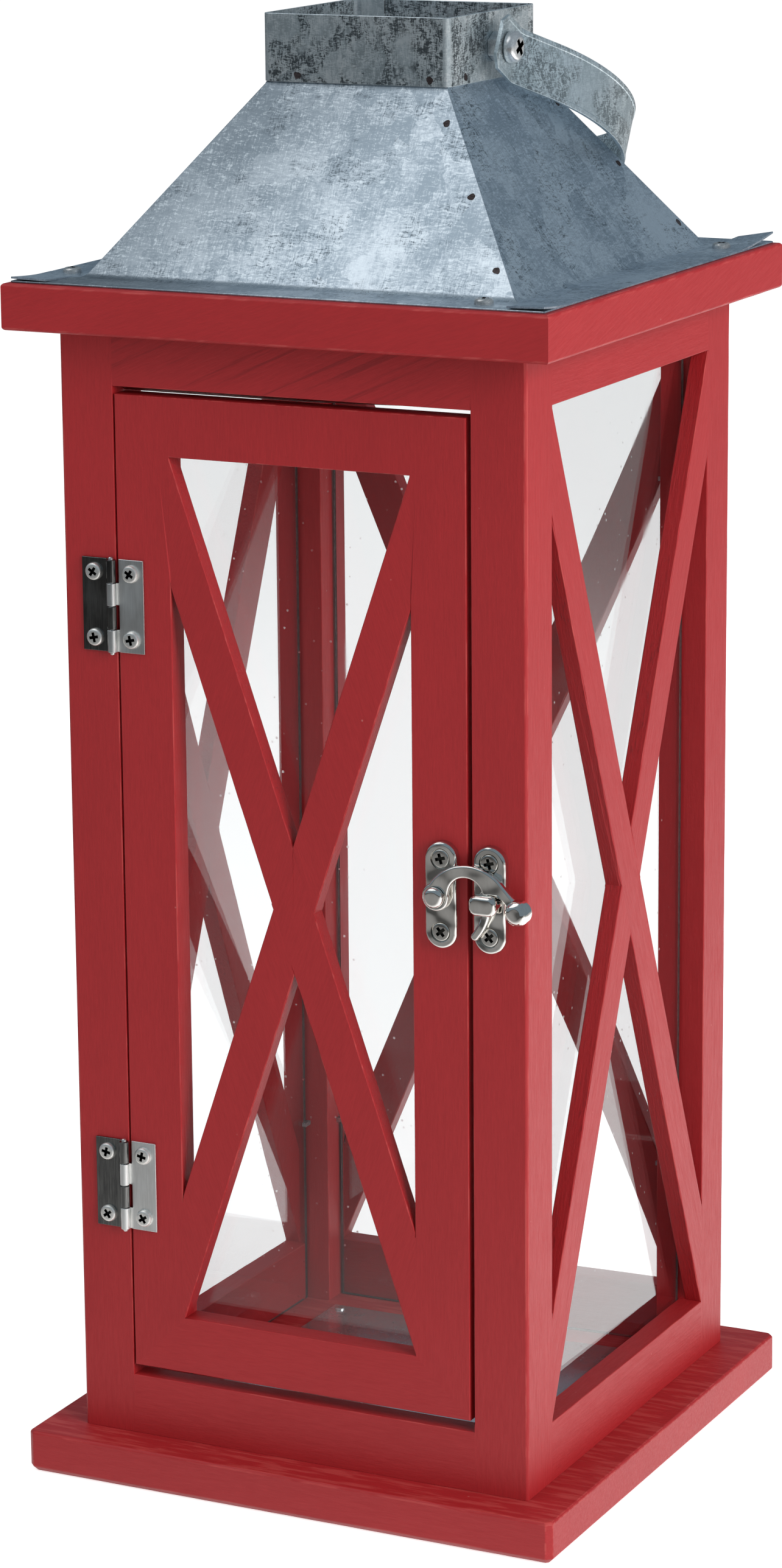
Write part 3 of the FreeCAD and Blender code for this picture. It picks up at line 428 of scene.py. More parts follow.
def spangle_group():
    """Zinc on sheet steel: leafy crystals, dark speckle rubbed both ways, and pale hairlines."""
    group, given = new_group("zinc_spangle")
    vector = given["Vector"]
    crystals = add_node(group, "ShaderNodeSeparateColor")
    leaves = cells(group, shaken(group, vector, 85.0, 4.0, 0.016), 120.0)
    group.links.new(leaves["Color"], crystals.inputs["Color"])
    leaf = crystals.outputs["Green"]
    loose = shaken(group, vector, 420.0, 2.0, 0.0016)
    hatch = [drawn_noise(group, loose, scale, 3)
             for scale in ((3400, 260, 260), (260, 3400, 260), (600, 600, 3400))]
    woven = reckon(group, "ADD", reckon(group, "ADD", hatch[0], hatch[1]), hatch[2])
    clouds = drawn_noise(group, vector, (30, 30, 30), 5)
    clusters = drawn_noise(group, vector, (80, 80, 80), 5)
    speckle = reckon(group, "MULTIPLY", ranged(group, woven, 1.26, 1.46, 0.8, 0.0),
                     ranged(group, clusters, 0.44, 0.60))
    soot = reckon(group, "MULTIPLY", ranged(group, woven, 1.38, 1.58, 0.95, 0.0),
                  ranged(group, clusters, 0.36, 0.50))
    tone = weighed(group, (crystals.outputs["Red"], 0.10), (clouds, 0.40), (woven, 0.25))
    return put_out(
        group,
        Tone=tone,
        Speckle=reckon(group, "MULTIPLY", speckle, ranged(group, leaf, 0.62, 0.72, 1.0, 0.0)),
        Hairline=ranged(group, woven, 1.56, 1.80),
        Soot=reckon(group, "MULTIPLY", soot, ranged(group, leaf, 0.70, 0.82, 1.0, 0.15)),
        Height=weighed(group, (tone, 0.4), (woven, 0.25)))


zinc_spangle = spangle_group()
DIRT_BLACK = (0.034, 0.044, 0.052)
RECESS_PAINTED_SHADE = (0.012, 0.012, 0.013)


def measured(tree, vector, direction):
    """How far a place lies along a direction."""
    made = add_node(tree, "ShaderNodeVectorMath", {1: direction}, operation="DOT_PRODUCT")
    tree.links.new(vector, made.inputs[0])
    return made.outputs["Value"]


def zinc(name, dull, bright, hairline, dirty, roughness, painted_shade=None, dirt="Speckle"):
    """Zinc coated steel, between a dull and a bright grey, with shares of pale hairlines and dark dirt.
    Where a direction and two distances along it are given, the sheet is painted darker at the first one, a
    painted shade."""
    material, tree, shader = new_material(name)
    place = on_piece(tree)
    spangle = placed(tree, zinc_spangle, Vector=place)
    skin = blended(tree, ranged(tree, spangle["Tone"], 0.52, 0.73), dull, bright)
    if painted_shade:
        direction, darkest_at, bare = painted_shade
        # painted shade: the sheet darkens towards one end of a direction
        painted_shade_mask = ranged(tree, measured(tree, place, direction), darkest_at, bare, 0.9, 0.0)
        skin = blended(tree, painted_shade_mask, skin, tuple(0.5 * part for part in dull))
    pale = tuple(min(1.0, 1.25 * part) for part in bright)
    skin = laid_over(tree, skin, spangle["Hairline"], hairline, pale)
    kept_dirt = reckon(tree, "MULTIPLY_ADD", mark(tree, "rounded_edge"), -dirty, dirty)
    skin = laid_over(tree, skin, spangle[dirt], kept_dirt, DIRT_BLACK)
    # painted shade: the faces inside a screw's recess are painted near black
    skin = blended(tree, mark(tree, "recess"), skin, RECESS_PAINTED_SHADE)
    tree.links.new(skin, shader.inputs["Base Color"])
    tree.links.new(ranged(tree, spangle["Tone"], 0.5, 0.75, roughness + 0.08, roughness - 0.06),
                   shader.inputs["Roughness"])
    shader.inputs["Metallic"].default_value = 0.88
    bumped(tree, shader, spangle["Height"], 0.3, 0.06 * MM)
    return material


zinc_wire = zinc("zinc_wire", (0.36, 0.37, 0.38), (0.55, 0.56, 0.57), hairline=0.4, dirty=0.5, roughness=0.45)


def left_plain(node, material):
    """A small piece that shows as its solid, with its own material."""
    frame["nodes"][node].data.materials.clear()
    frame["nodes"][node].data.materials.append(material)


left_plain("base_nails", zinc_wire)

# Candle plate: a square of zinc coated sheet that keeps wax and heat off the floor board.
# It is cut with shears and held by a round headed tack in each corner.


def sheet_edged(node, name):
    """A sheet piece copied from its solid, with its cut edges just broken."""
    piece = taken_from(node, name)
    eased(piece, 0.2 * MM, 2, 0.25 * MM)
    return piece


zinc_floor = zinc("zinc_floor", (0.62, 0.64, 0.67), (0.84, 0.86, 0.89), hairline=0.3, dirty=0.15,
                  roughness=0.2)
plate = sheet_edged("candle_plate", "candle_plate_sheet")
fitted(plate, zinc_floor, "frame", "galvanised_sheet", "candle_plate")
ROUND_UP_TO = math.radians(40)


def round_bar(name, sides, radius, length, middle, turn=(0, 0, 0)):
    """A plain round bar to start a piece from, with its place in its mesh."""
    bpy.ops.object.select_all(action="DESELECT")
    bpy.ops.mesh.primitive_cylinder_add(vertices=sides, radius=radius, depth=length, location=middle,
                                        rotation=turn)
    piece = bpy.context.object
    piece.name = name
    bpy.ops.object.transform_apply(location=True, rotation=True, scale=True)
    return piece


def domed_head(name, radius, rise, shank, length, dome):
    """A round headed fastener with its head up and its shank down, standing on the XY plane."""
    piece = round_bar(name, 32, radius, rise, (0, 0, rise / 2))
    with editing(piece):
        pick(piece, "EDGE", lambda edge: all(vert.co.z > rise * 0.9 for vert in edge.verts))
        bpy.ops.mesh.bevel(offset=dome, segments=5, affect="EDGES", clamp_overlap=True)
        pick(piece, "FACE", lambda face: face.normal.z < -0.9)
        bpy.ops.mesh.inset(thickness=radius - shank / 2, depth=0)
        bpy.ops.mesh.extrude_region_move(TRANSFORM_OT_translate={"value": (0, 0, -length)})
    bpy.ops.object.shade_smooth_by_angle(angle=ROUND_UP_TO)
    return piece


def joined(pieces):
    """Several meshes made one piece, under the name of the first."""
    alone(pieces[0])
    for piece in pieces[1:]:
        piece.select_set(True)
    if len(pieces) > 1:
        bpy.ops.object.join()
    return pieces[0]


def set_in_place(sample, name, places):
    """Copies of one fastener, each turned to face outwards at its place, joined as one piece."""
    copies = []
    for point, outward, spin in places:
        one = bpy.data.objects.new(name, sample.data.copy())
        bpy.context.scene.collection.objects.link(one)
        facing = Vector((0, 0, 1)).rotation_difference(Vector(outward)).to_matrix().to_4x4()
        turn = Matrix.Rotation(math.radians(spin), 4, "Z")
        one.data.transform(Matrix.Translation(Vector(point)) @ facing @ turn)
        copies.append(one)
    piece = joined(copies)
    bpy.data.objects.remove(sample)
    piece.name = name
    return piece


plate_low, plate_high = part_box("candle_plate")
TACK_INSET = 3.3 * MM
tack = domed_head("tack", radius=1.5 * MM, rise=0.6 * MM, shank=1.0 * MM, length=3 * MM, dome=0.45 * MM)
tack_places = [((x, y, plate_high.z), (0, 0, 1), 0)
               for x in (plate_low.x + TACK_INSET, plate_high.x - TACK_INSET)
               for y in (plate_low.y + TACK_INSET, plate_high.y - TACK_INSET)]
tacks = set_in_place(tack, "plate_tacks_domed", tack_places)
zinc_heads = zinc("zinc_heads", (0.50, 0.50, 0.50), (0.72, 0.72, 0.71), hairline=0.3, dirty=0.25,
                  roughness=0.3)
fitted(tacks, zinc_heads, "frame", "zinc_fasteners", "plate_tacks")

# Corner posts: four square softwood posts, planed and painted.
# They are nailed to the base from below and to the cap from above.

for depth in ("front", "rear"):
    for side in ("left", "right"):
        painted(f"{depth}_{side}_post", paint_upright)

# Bottom and top rails: painted strips glued between the posts, flush with their outer faces.
# The front top rail is a slanting grained strip, so its streaks show through the paint, and
# its underside isn't quite square, which narrows the gap over the door.

rail_paints = {"front": paint_across, "rear": paint_across, "left": paint_deep, "right": paint_deep}
for side, paint in rail_paints.items():
    for level in ("bottom", "top"):
        painted(f"{side}_{level}_rail", paint)
rail = bpy.data.objects["front_top_rail_painted"]
rail.data.materials[0] = red_paint("red_paint_grained", (0, -1.15, 0), grain=0.4)
rail_low, rail_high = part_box("front_top_rail")
OUT_OF_SQUARE = 1.85 * MM
TRUE_FROM = 20 * MM
FADES_OVER = 12 * MM
EDGE_ZONE = 1.5 * MM
for vert in rail.data.vertices:
    if vert.co.y > rail_high.y - EDGE_ZONE and vert.co.z < rail_low.z + EDGE_ZONE:
        vert.co.z -= OUT_OF_SQUARE * min(1.0, max(0.0, (TRUE_FROM - vert.co.x) / FADES_OVER))

# Side and rear braces: thin strips that cross from corner to corner, half lapped in the middle.
# Their faces are planed, but the edges towards the glass are left rough from the saw.

SAWN = 0.45 * MM
BRACE_WIDTH = 11.5


def brace_lean(width, height):
    """How far from upright a strip leans that runs from corner to corner of an opening."""
    return math.atan2(width, height) + math.asin(BRACE_WIDTH / math.hypot(width, height))


def brace(node, paint, body, facing):
    """A painted brace, with the faces marked that don't lie in the plane of its panel."""
    piece = painted(node, paint, body, SAWN)
    marks = piece.data.attributes.new("sawn_face", "FLOAT", "FACE")
    for face in piece.data.polygons:
        marks.data[face.index].value = float(abs(face.normal.dot(facing)) < 0.5)


SIDEWAYS = Vector((1, 0, 0))
BACKWARDS = Vector((0, 1, 0))
SIDE_OPENING = (104.4, 276.8)
side_lean = brace_lean(*SIDE_OPENING)
brace_paints = {
    "rear_falling": red_paint("red_paint_rear_falling", (0, -side_lean, 0)),
    "rear_rising": red_paint("red_paint_rear_rising", (0, side_lean, 0)),
    "side_falling": red_paint("red_paint_side_falling", (-side_lean, 0, 0)),
    "side_rising": red_paint("red_paint_side_rising", (side_lean, 0, 0)),
}
glazed_sides = (("left", "side", SIDEWAYS), ("right", "side", SIDEWAYS), ("rear", "rear", BACKWARDS))
for side, kind, facing in glazed_sides:
    for run in ("falling", "rising"):
        brace(f"{side}_{run}_brace", brace_paints[f"{kind}_{run}"], "frame", facing)

# Panes: clear window glass, 2 mm thick, cut to size and stood on the floor behind the rails.
# The edges are ground, and a little dust and a few wipe marks lie on the faces.


def glass_dust_group():
    """Specks of dust and faint wipe marks on glass."""
    group, given = new_group("glass_dust")
    vector = given["Vector"]
    speck = ranged(group, cells(group, vector, 210.0)["Distance"], 0.05, 0.1, 1.0, 0.0)
    wipe = ranged(group, drawn_noise(group, vector, (60, 60, 14), 4), 0.5, 0.75, 0.0, 0.35)
    return put_out(group, Haze=reckon(group, "MAXIMUM", speck, wipe))


def clear_glass(name):
    """Glass that lets light through to the inside of the lantern."""
    material, tree, shader = new_material(name)
    dust = placed(tree, glass_dust_group(), Vector=on_piece(tree))
    tree.links.new(ranged(tree, dust["Haze"], 0.0, 1.0, 0.0, 0.22), shader.inputs["Roughness"])
    shader.inputs["Base Color"].default_value = (0.905, 0.912, 0.915, 1)
    shader.inputs["Transmission Weight"].default_value = 1.0
    shader.inputs["IOR"].default_value = 1.45
    shader.inputs["Specular IOR Level"].default_value = 0.05
    rays = add_node(tree, "ShaderNodeLightPath").outputs
    through = add_node(tree, "ShaderNodeBsdfTransparent", {"Color": (0.93, 0.94, 0.935, 1)})
    mixed = add_node(tree, "ShaderNodeMixShader")
    tree.links.new(reckon(tree, "MAXIMUM", rays["Is Shadow Ray"], rays["Is Diffuse Ray"]), mixed.inputs[0])
    tree.links.new(shader.outputs["BSDF"], mixed.inputs[1])
    tree.links.new(through.outputs["BSDF"], mixed.inputs[2])
    tree.links.new(mixed.outputs["Shader"], tree.nodes["Material Output"].inputs["Surface"])
    return material


ground_edge, tree, shader = new_material("ground_glass_edge")
grinding = drawn_noise(tree, on_piece(tree), (900, 900, 900), 4)
tree.links.new(blended(tree, grinding, (0.02, 0.014, 0.014), (0.10, 0.07, 0.07)), shader.inputs["Base Color"])
tree.links.new(ranged(tree, grinding, 0.3, 0.7, 0.75, 0.5), shader.inputs["Roughness"])
window_glass = clear_glass("window_glass")


def glazed(node, body, facing):
    """A pane with clear faces, and with dull ground edges all round."""
    piece = taken_from(node, f"{node}_glass")
    eased(piece, 0.25 * MM, 1, 5 * MM)
    fitted(piece, window_glass, body, "glass", node)
    piece.data.materials.append(ground_edge)
    for face in piece.data.polygons:
        face.material_index = int(abs(face.normal.dot(facing)) < 0.9)


for side, kind, facing in glazed_sides:
    glazed(f"{side}_pane", "frame", facing)
left_plain("glazing_sprigs", zinc_wire)

# Cap: four boards mitred into a square frame, which closes the top of the body and carries
# the roof. It is painted like the rest, with slanting brush strokes, and nailed to the posts.

CAP_STROKES = {"front": (0, -1.25, 0), "rear": (0, -1.25, 0), "left": (1.3, 0, 0), "right": (1.3, 0, 0)}
for side, turn in CAP_STROKES.items():
    painted(f"cap_{side}_board", red_paint(f"red_paint_cap_{side}", turn))
left_plain("cap_nails", zinc_wire)

# Roof: four panels of zinc coated sheet, each folded to a flange, a slope and a neck.
# A tab along each hip lies under the next panel and is spot welded to it, and the ends of
# the side flanges bend up over the next flange. The front is painted darker at its upper left, a painted
# shade.

zinc_roof = zinc("zinc_roof", (0.33, 0.41, 0.49), (0.62, 0.71, 0.79), hairline=0.35, dirty=0.85,
                 roughness=0.38)
zinc_front_painted_shade = zinc("zinc_roof_front_painted_shade", (0.42, 0.50, 0.57), (0.70, 0.77, 0.83), hairline=0.3, dirty=0.7,
                  roughness=0.38, painted_shade=((0.75, 0, -0.66), -0.275, -0.215))
for side in ("front", "left", "right", "rear"):
    node = f"roof_{side}_panel"
    panel = sheet_edged(node, f"{node}_sheet")
    fitted(panel, zinc_front_painted_shade if side == "front" else zinc_roof, "frame", "galvanised_sheet", node)

SHEET_PROUD = 0.62 * MM
SHEET_UP_TO = math.radians(30)
FLANGE_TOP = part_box("cap_front_board")[1].z + SHEET_PROUD
FLANGE_REACH = 76.9
LAP_INSIDE = 65.6
LAP_INSIDE_END = 66.6
LAP_THICKNESS = 0.5 * MM


def lapped_corner(name, corners, start, inner, lift):
    """The end of a side flange: a sheet corner that bends up and lies on the next flange."""
    bpy.ops.object.select_all(action="DESELECT")
    bpy.ops.mesh.primitive_plane_add(size=1, location=(0, 0, 0))
    piece = bpy.context.object
    piece.name = name
    with editing(piece):
        mesh = bmesh.from_edit_mesh(piece.data)
        loop = [corner.vert for corner in next(iter(mesh.faces)).loops]
        for vert, (x, y) in zip(loop, corners):
            vert.co = (x * MM, y * MM, FLANGE_TOP)
        bmesh.update_edit_mesh(piece.data)
        bpy.ops.mesh.subdivide(number_cuts=7, smoothness=0)
        mesh = bmesh.from_edit_mesh(piece.data)
        for vert in mesh.verts:
            bent = max(0.0, (abs(vert.co.y) / MM - start) / (FLANGE_REACH - start))
            outwards = max(0.0, (abs(vert.co.x) / MM - inner) / (FLANGE_REACH - inner))
            vert.co.z += lift * bent ** 1.5 * outwards
        bpy.ops.mesh.normals_make_consistent(inside=False)
        mesh = bmesh.from_edit_mesh(piece.data)
        if next(iter(mesh.faces)).normal.z < 0:
            bpy.ops.mesh.flip_normals()
    finished_with(piece, "SOLIDIFY", thickness=LAP_THICKNESS, offset=-1)
    bpy.ops.object.shade_smooth_by_angle(angle=SHEET_UP_TO)
    return piece


LAPS = {"front_right": (1, -1, 62, 40, 1.1 * MM), "front_left": (-1, -1, 62, 40, 1.0 * MM),
        "rear_right": (1, 1, 52, 62, 2.6 * MM), "rear_left": (-1, 1, 58, 50, 1.2 * MM)}
for corner, (right, back, start, inner, lift) in LAPS.items():
    outline = [(LAP_INSIDE * right, (start - 2) * back), (FLANGE_REACH * right, (start - 6) * back),
               (FLANGE_REACH * right, FLANGE_REACH * back), (LAP_INSIDE_END * right, FLANGE_REACH * back)]
    lap = lapped_corner(f"roof_{corner}_lap_sheet", outline, start, inner, lift)
    fitted(lap, zinc_roof, "frame", "galvanised_sheet")

# Spot welds: three along each hip and two along the foot of each side of the collar, where the
# zinc has burnt off to a small dark scab with an uneven rim.

WELD_RADIUS = 1.0 * MM
WELD_THICKNESS = 0.12 * MM
WELD_MIDDLE = 0.03 * MM


def weld_scab():
    """A low dark disc with an uneven rim, standing on the XY plane."""
    piece = round_bar("weld", 18, WELD_RADIUS, WELD_THICKNESS, (0, 0, WELD_MIDDLE))
    with editing(piece):
        mesh = bmesh.from_edit_mesh(piece.data)
        for vert in mesh.verts:
            vert.co.xy *= 0.95 + 0.4 * noise.noise(Vector((vert.co.x, vert.co.y, 0)) * 1300)
        bmesh.update_edit_mesh(piece.data)
        pick(piece, "FACE", lambda face: face.normal.z > 0.9)
        bpy.ops.mesh.inset(thickness=0.35 * MM, depth=-0.04 * MM)
    bpy.ops.object.shade_smooth_by_angle(angle=SHEET_UP_TO)
    return piece


collar_face = -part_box("chimney_collar")[1].x
HIP_FOOT = Vector((62.4, -62.4, 333.0)) * MM
HIP_NECK = Vector((26.1, -26.1, 382.5)) * MM
HIP_WELDS = ((374, 3.0, 0), (357, 2.6, 130), (340, 2.4, 250))
COLLAR_WELDS = ((-16.9, 385.0, 75), (21.7, 384.9, 200))
slope_out = (HIP_NECK - HIP_FOOT).cross(Vector((-1, 0, 0))).normalized()
weld_places = []
for quarter in range(4):
    around = Matrix.Rotation(math.radians(90 * quarter), 3, "Z")
    for height, inwards, spin in HIP_WELDS:
        share = (height * MM - HIP_FOOT.z) / (HIP_NECK.z - HIP_FOOT.z)
        spot = HIP_FOOT.lerp(HIP_NECK, share) + Vector((-inwards * MM, 0, 0)) + slope_out * SHEET_PROUD
        weld_places.append((around @ spot, around @ slope_out, spin + 40 * quarter))
    for along, height, spin in COLLAR_WELDS:
        spot = Vector((along * MM, collar_face, height * MM))
        weld_places.append((around @ spot, around @ Vector((0, -1, 0)), spin + 55 * quarter))
welds = set_in_place(weld_scab(), "roof_spot_welds", weld_places)
burnt_zinc = zinc("burnt_zinc", (0.060, 0.046, 0.046), (0.125, 0.10, 0.10), hairline=0.1, dirty=0.5,
                  roughness=0.62)
fitted(welds, burnt_zinc, "frame", "galvanised_sheet")

# Roof screws: one zinc plated pan head screw near a corner of each flange.
# They go through the flange into the cap and were driven by hand, so their crosses stand anyhow.


def joined_by(piece, other, operation):
    """Adds another solid to a piece, or cuts it out."""
    finished_with(piece, "BOOLEAN", operation=operation, solver="EXACT", object=other)
    bpy.data.objects.remove(other)


def cross_cut(piece, reach, width, depth, top):
    """Sinks a cross recess into the top of a screw head."""
    for length, breadth in ((reach, width), (width, reach)):
        bpy.ops.object.select_all(action="DESELECT")
        bpy.ops.mesh.primitive_cube_add(size=1, location=(0, 0, top), scale=(length, breadth, 2 * depth))
        arm = bpy.context.object
        bpy.ops.object.transform_apply(location=True, rotation=True, scale=True)
        joined_by(piece, arm, "DIFFERENCE")
    bpy.ops.object.shade_smooth_by_angle(angle=ROUND_UP_TO)
    # the faces inside the recess are marked, so that the materials paint a shade on them
    sunk = piece.data.attributes.new("recess", "FLOAT", "FACE")
    for face in piece.data.polygons:
        inside = face.center.xy.length < 0.55 * reach and 0 < face.center.z < top - 0.02 * MM
        sunk.data[face.index].value = float(inside)


def cross_screw(name, head, rise, shank, length):
    """A pan head screw with a cross recess."""
    piece = domed_head(name, head / 2, rise, shank, length, rise * 0.6)
    cross_cut(piece, head * 0.56, head * 0.17, rise * 0.75, rise)
    return piece


ROOF_SCREW_ALONG = 57 * MM
ROOF_SCREW_HEAD = 5 * MM
ROOF_SCREW_RISE = 1.5 * MM
screws_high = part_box("roof_screws")[1]
reach = screws_high.x - ROOF_SCREW_HEAD / 2
seat = screws_high.z - ROOF_SCREW_RISE
roof_screw_places = [((ROOF_SCREW_ALONG, -reach, seat), (0, 0, 1), 20),
                     ((reach, ROOF_SCREW_ALONG, seat), (0, 0, 1), 65),
                     ((-ROOF_SCREW_ALONG, reach, seat), (0, 0, 1), 5),
                     ((-reach, -ROOF_SCREW_ALONG, seat), (0, 0, 1), 48)]
roof_screw = cross_screw("roof_screw", ROOF_SCREW_HEAD, ROOF_SCREW_RISE, shank=2.4 * MM, length=6 * MM)
roof_screws = set_in_place(roof_screw, "roof_screws_cross", roof_screw_places)
fitted(roof_screws, zinc_heads, "frame", "zinc_fasteners", "roof_screws")

# Chimney collar: a strip of the same sheet folded to a square round the roof's neck and lapped
# on the inside of one corner. Handling and smoke have left it darker than the roof, except
# along its folds, which are rubbed bright.

FOLD_FROM = 0.2
zinc_collar = zinc("zinc_collar", (0.48, 0.55, 0.58), (0.80, 0.86, 0.88), hairline=0.25, dirty=0.9,
                   roughness=0.4, dirt="Soot")
collar = sheet_edged("chimney_collar", "chimney_collar_sheet")
folds = collar.data.attributes["rounded_edge"]
for face in collar.data.polygons:
    if min(abs(face.normal.x), abs(face.normal.y)) > FOLD_FROM:
        folds.data[face.index].value = 1.0
fitted(collar, zinc_collar, "frame", "galvanised_sheet", "chimney_collar")

# Handle screws and nuts: a machine screw at each end of the handle, held to the collar between
# two hexagon nuts, so that the strap turns freely under the screw's head.

HANDLE_SCREW_RISE = 2.8 * MM
pin_low, pin_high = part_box("handle_screws")
pin_z = (pin_low.z + pin_high.z) / 2
seat = pin_high.x - HANDLE_SCREW_RISE
handle_screw = cross_screw("handle_screw", head=8.5 * MM, rise=HANDLE_SCREW_RISE, shank=4 * MM,
                           length=13.2 * MM)
handle_screws = set_in_place(handle_screw, "handle_screws_cross",
                             [((seat, 0, pin_z), (1, 0, 0), 30), ((-seat, 0, pin_z), (-1, 0, 0), 10)])
zinc_bright = zinc("zinc_bright", (0.74, 0.75, 0.76), (0.94, 0.95, 0.95), hairline=0.2, dirty=0.1,
                   roughness=0.2)
fitted(handle_screws, zinc_bright, "frame", "zinc_fasteners", "handle_screws")
nuts = taken_from("handle_nuts", "handle_nuts_hexagon")
eased(nuts, 0.25 * MM, 2, 1.5 * MM)
fitted(nuts, zinc_bright, "frame", "zinc_fasteners", "handle_nuts")

# Handle: a flat zinc coated strap, bent to a bow, with a drilled tab at each end.
# A narrow hem stands up along both edges of its outer face.

zinc_strap = zinc("zinc_strap", (0.48, 0.565, 0.60), (0.72, 0.80, 0.84), hairline=0.3, dirty=0.6,
                  roughness=0.42, dirt="Soot")
HEM_WIDTH = 1.3 * MM
HEM_RISE = 0.2 * MM
strap_low, strap_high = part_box("handle_strap")
pin_middle = Vector((0, 0, pin_z))
bow = Vector((0, strap_high.y, strap_low.z)) - pin_middle
across = SIDEWAYS.cross(bow).normalized()


def is_outer(face):
    """Whether a face of the strap looks away from the handle's axis."""
    outward = face.calc_center_median() - pin_middle
    return abs(face.normal.dot(across)) < 0.5 and face.normal.dot(outward) > 0


strap = taken_from("handle_strap", "handle_strap_bent")
with editing(strap):
    pick(strap, "FACE", is_outer)
    bpy.ops.mesh.inset(thickness=HEM_WIDTH, depth=0)
    bpy.ops.mesh.inset(thickness=HEM_RISE, depth=-HEM_RISE)
eased(strap, 0.15 * MM, 2, 0.3 * MM)
fitted(strap, zinc_strap, "handle", "galvanised_sheet", "handle_strap")

# Hinges: two steel butt hinges, 25 mm tall. Each leaf is a stamped plate with its knuckles
# rolled round a loose pin, and is screwed to the face of the wood with two cross head screws.


def brushed_steel_group():
    """Fine upright brush lines and a few smears on bare or plated steel."""
    group, given = new_group("steel_brush")
    lines = drawn_noise(group, given["Vector"], (4200, 4200, 130), 3)
    smear = drawn_noise(group, given["Vector"], (190, 190, 90), 4)
    return put_out(group, Tone=weighed(group, (smear, 0.4), (lines, 0.6)), Height=lines, Smear=smear)


steel_brush = brushed_steel_group()


def steel(name, dark, light, smooth, rough, bump):
    """Bare or plated steel with brush lines."""
    material, tree, shader = new_material(name)
    brush = placed(tree, steel_brush, Vector=on_piece(tree))
    skin = blended(tree, ranged(tree, brush["Tone"], 0.3, 0.7), dark, light)
    tree.links.new(skin, shader.inputs["Base Color"])
    tree.links.new(ranged(tree, brush["Smear"], 0.35, 0.7, smooth, rough), shader.inputs["Roughness"])
    shader.inputs["Metallic"].default_value = 1.0
    bumped(tree, shader, brush["Height"], bump, 0.02 * MM)
    return material


# The frame leaves get a dark copy of one steel, and the door leaves and the pins a light copy: painted shade
# and painted light.
hinge_steel_shaded_and_lit = {
    "frame": steel("hinge_steel_painted_shade", (0.10, 0.10, 0.10), (0.26, 0.26, 0.25), smooth=0.16, rough=0.26,
                   bump=0.2),
    "door": steel("hinge_steel_painted_light", (0.78, 0.78, 0.76), (0.95, 0.95, 0.93), smooth=0.32, rough=0.44,
                  bump=0.3),
}
for level in ("upper", "lower"):
    for owner in ("frame", "door"):
        node = f"{level}_hinge_{owner}_leaf"
        leaf = taken_from(node, f"{node}_steel")
        eased(leaf, 0.16 * MM, 2, 0.1 * MM)
        fitted(leaf, hinge_steel_shaded_and_lit[owner], owner, "hinge_steel", node)

PIN_RADIUS = 0.7 * MM
PIN_LENGTH = 26.8 * MM
PIN_DOME = 0.5 * MM
pins_low, pins_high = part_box("hinge_pins")
pins = []
for level in ("upper", "lower"):
    leaf_low, leaf_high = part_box(f"{level}_hinge_frame_leaf")
    middle = ((pins_low.x + pins_high.x) / 2, (pins_low.y + pins_high.y) / 2, (leaf_low.z + leaf_high.z) / 2)
    pin = round_bar("hinge_pin", 24, PIN_RADIUS, PIN_LENGTH, middle)
    with editing(pin):
        pick(pin, "EDGE", lambda edge: abs(edge.verts[0].co.z - edge.verts[1].co.z) < PIN_DOME)
        bpy.ops.mesh.bevel(offset=PIN_DOME, segments=4, affect="EDGES")
    bpy.ops.object.shade_smooth_by_angle(angle=ROUND_UP_TO)
    pins.append(pin)
hinge_pins = joined(pins)
hinge_pins.name = "hinge_pins_domed"
fitted(hinge_pins, hinge_steel_shaded_and_lit["door"], "frame", "hinge_steel", "hinge_pins")

# Hinge screws: small zinc plated wood screws with pan heads and cross recesses, two in each
# leaf, driven by hand, so that the crosses stand at odd angles.

HINGE_SCREW_INSET = 3.75 * MM
LEAF_THICKNESS = 0.7 * MM
SPINS = {"upper": (12, 57), "lower": (33, 78)}
zinc_screws = zinc("zinc_screws", (0.80, 0.79, 0.75), (0.98, 0.97, 0.93), hairline=0.2, dirty=0.1,
                   roughness=0.4)
for owner in ("frame", "door"):
    places = []
    for level, spins in SPINS.items():
        low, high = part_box(f"{level}_hinge_{owner}_leaf")
        x = low.x + HINGE_SCREW_INSET if owner == "frame" else high.x - HINGE_SCREW_INSET
        for z, spin in zip((low.z + HINGE_SCREW_INSET, high.z - HINGE_SCREW_INSET), spins):
            places.append(((x, high.y - LEAF_THICKNESS, z), (0, -1, 0), spin))
    hinge_screw = cross_screw("hinge_screw", head=4.8 * MM, rise=1.2 * MM, shank=1.8 * MM, length=5 * MM)
    hinge_screws = set_in_place(hinge_screw, f"{owner}_hinge_screws_cross", places)
    fitted(hinge_screws, zinc_screws, owner, "zinc_fasteners", f"{owner}_hardware_screws")

# Latch catch plate: a pressed and nickel plated plate with round ends, held to the post by two
# nickel plated cross head screws. A tongue carries a rounded button, and the hook's prong
# slides in behind it.

NICKEL_SHADOW = (0.05, 0.05, 0.045)


def polished(name, dark, light, roughness, wave):
    """Polished nickel plate, whose casting underneath isn't quite even."""
    material, tree, shader = new_material(name)
    place = on_piece(tree)
    smear = placed(tree, steel_brush, Vector=place)["Smear"]
    skin = blended(tree, ranged(tree, smear, 0.3, 0.7), dark, light)
    tree.links.new(blended(tree, mark(tree, "recess"), skin, NICKEL_SHADOW), shader.inputs["Base Color"])
    tree.links.new(ranged(tree, smear, 0.35, 0.7, roughness, 2 * roughness), shader.inputs["Roughness"])
    shader.inputs["Metallic"].default_value = 1.0
    bumped(tree, shader, drawn_noise(tree, place, (200, 200, 200), 0), 1.0, wave)
    return material


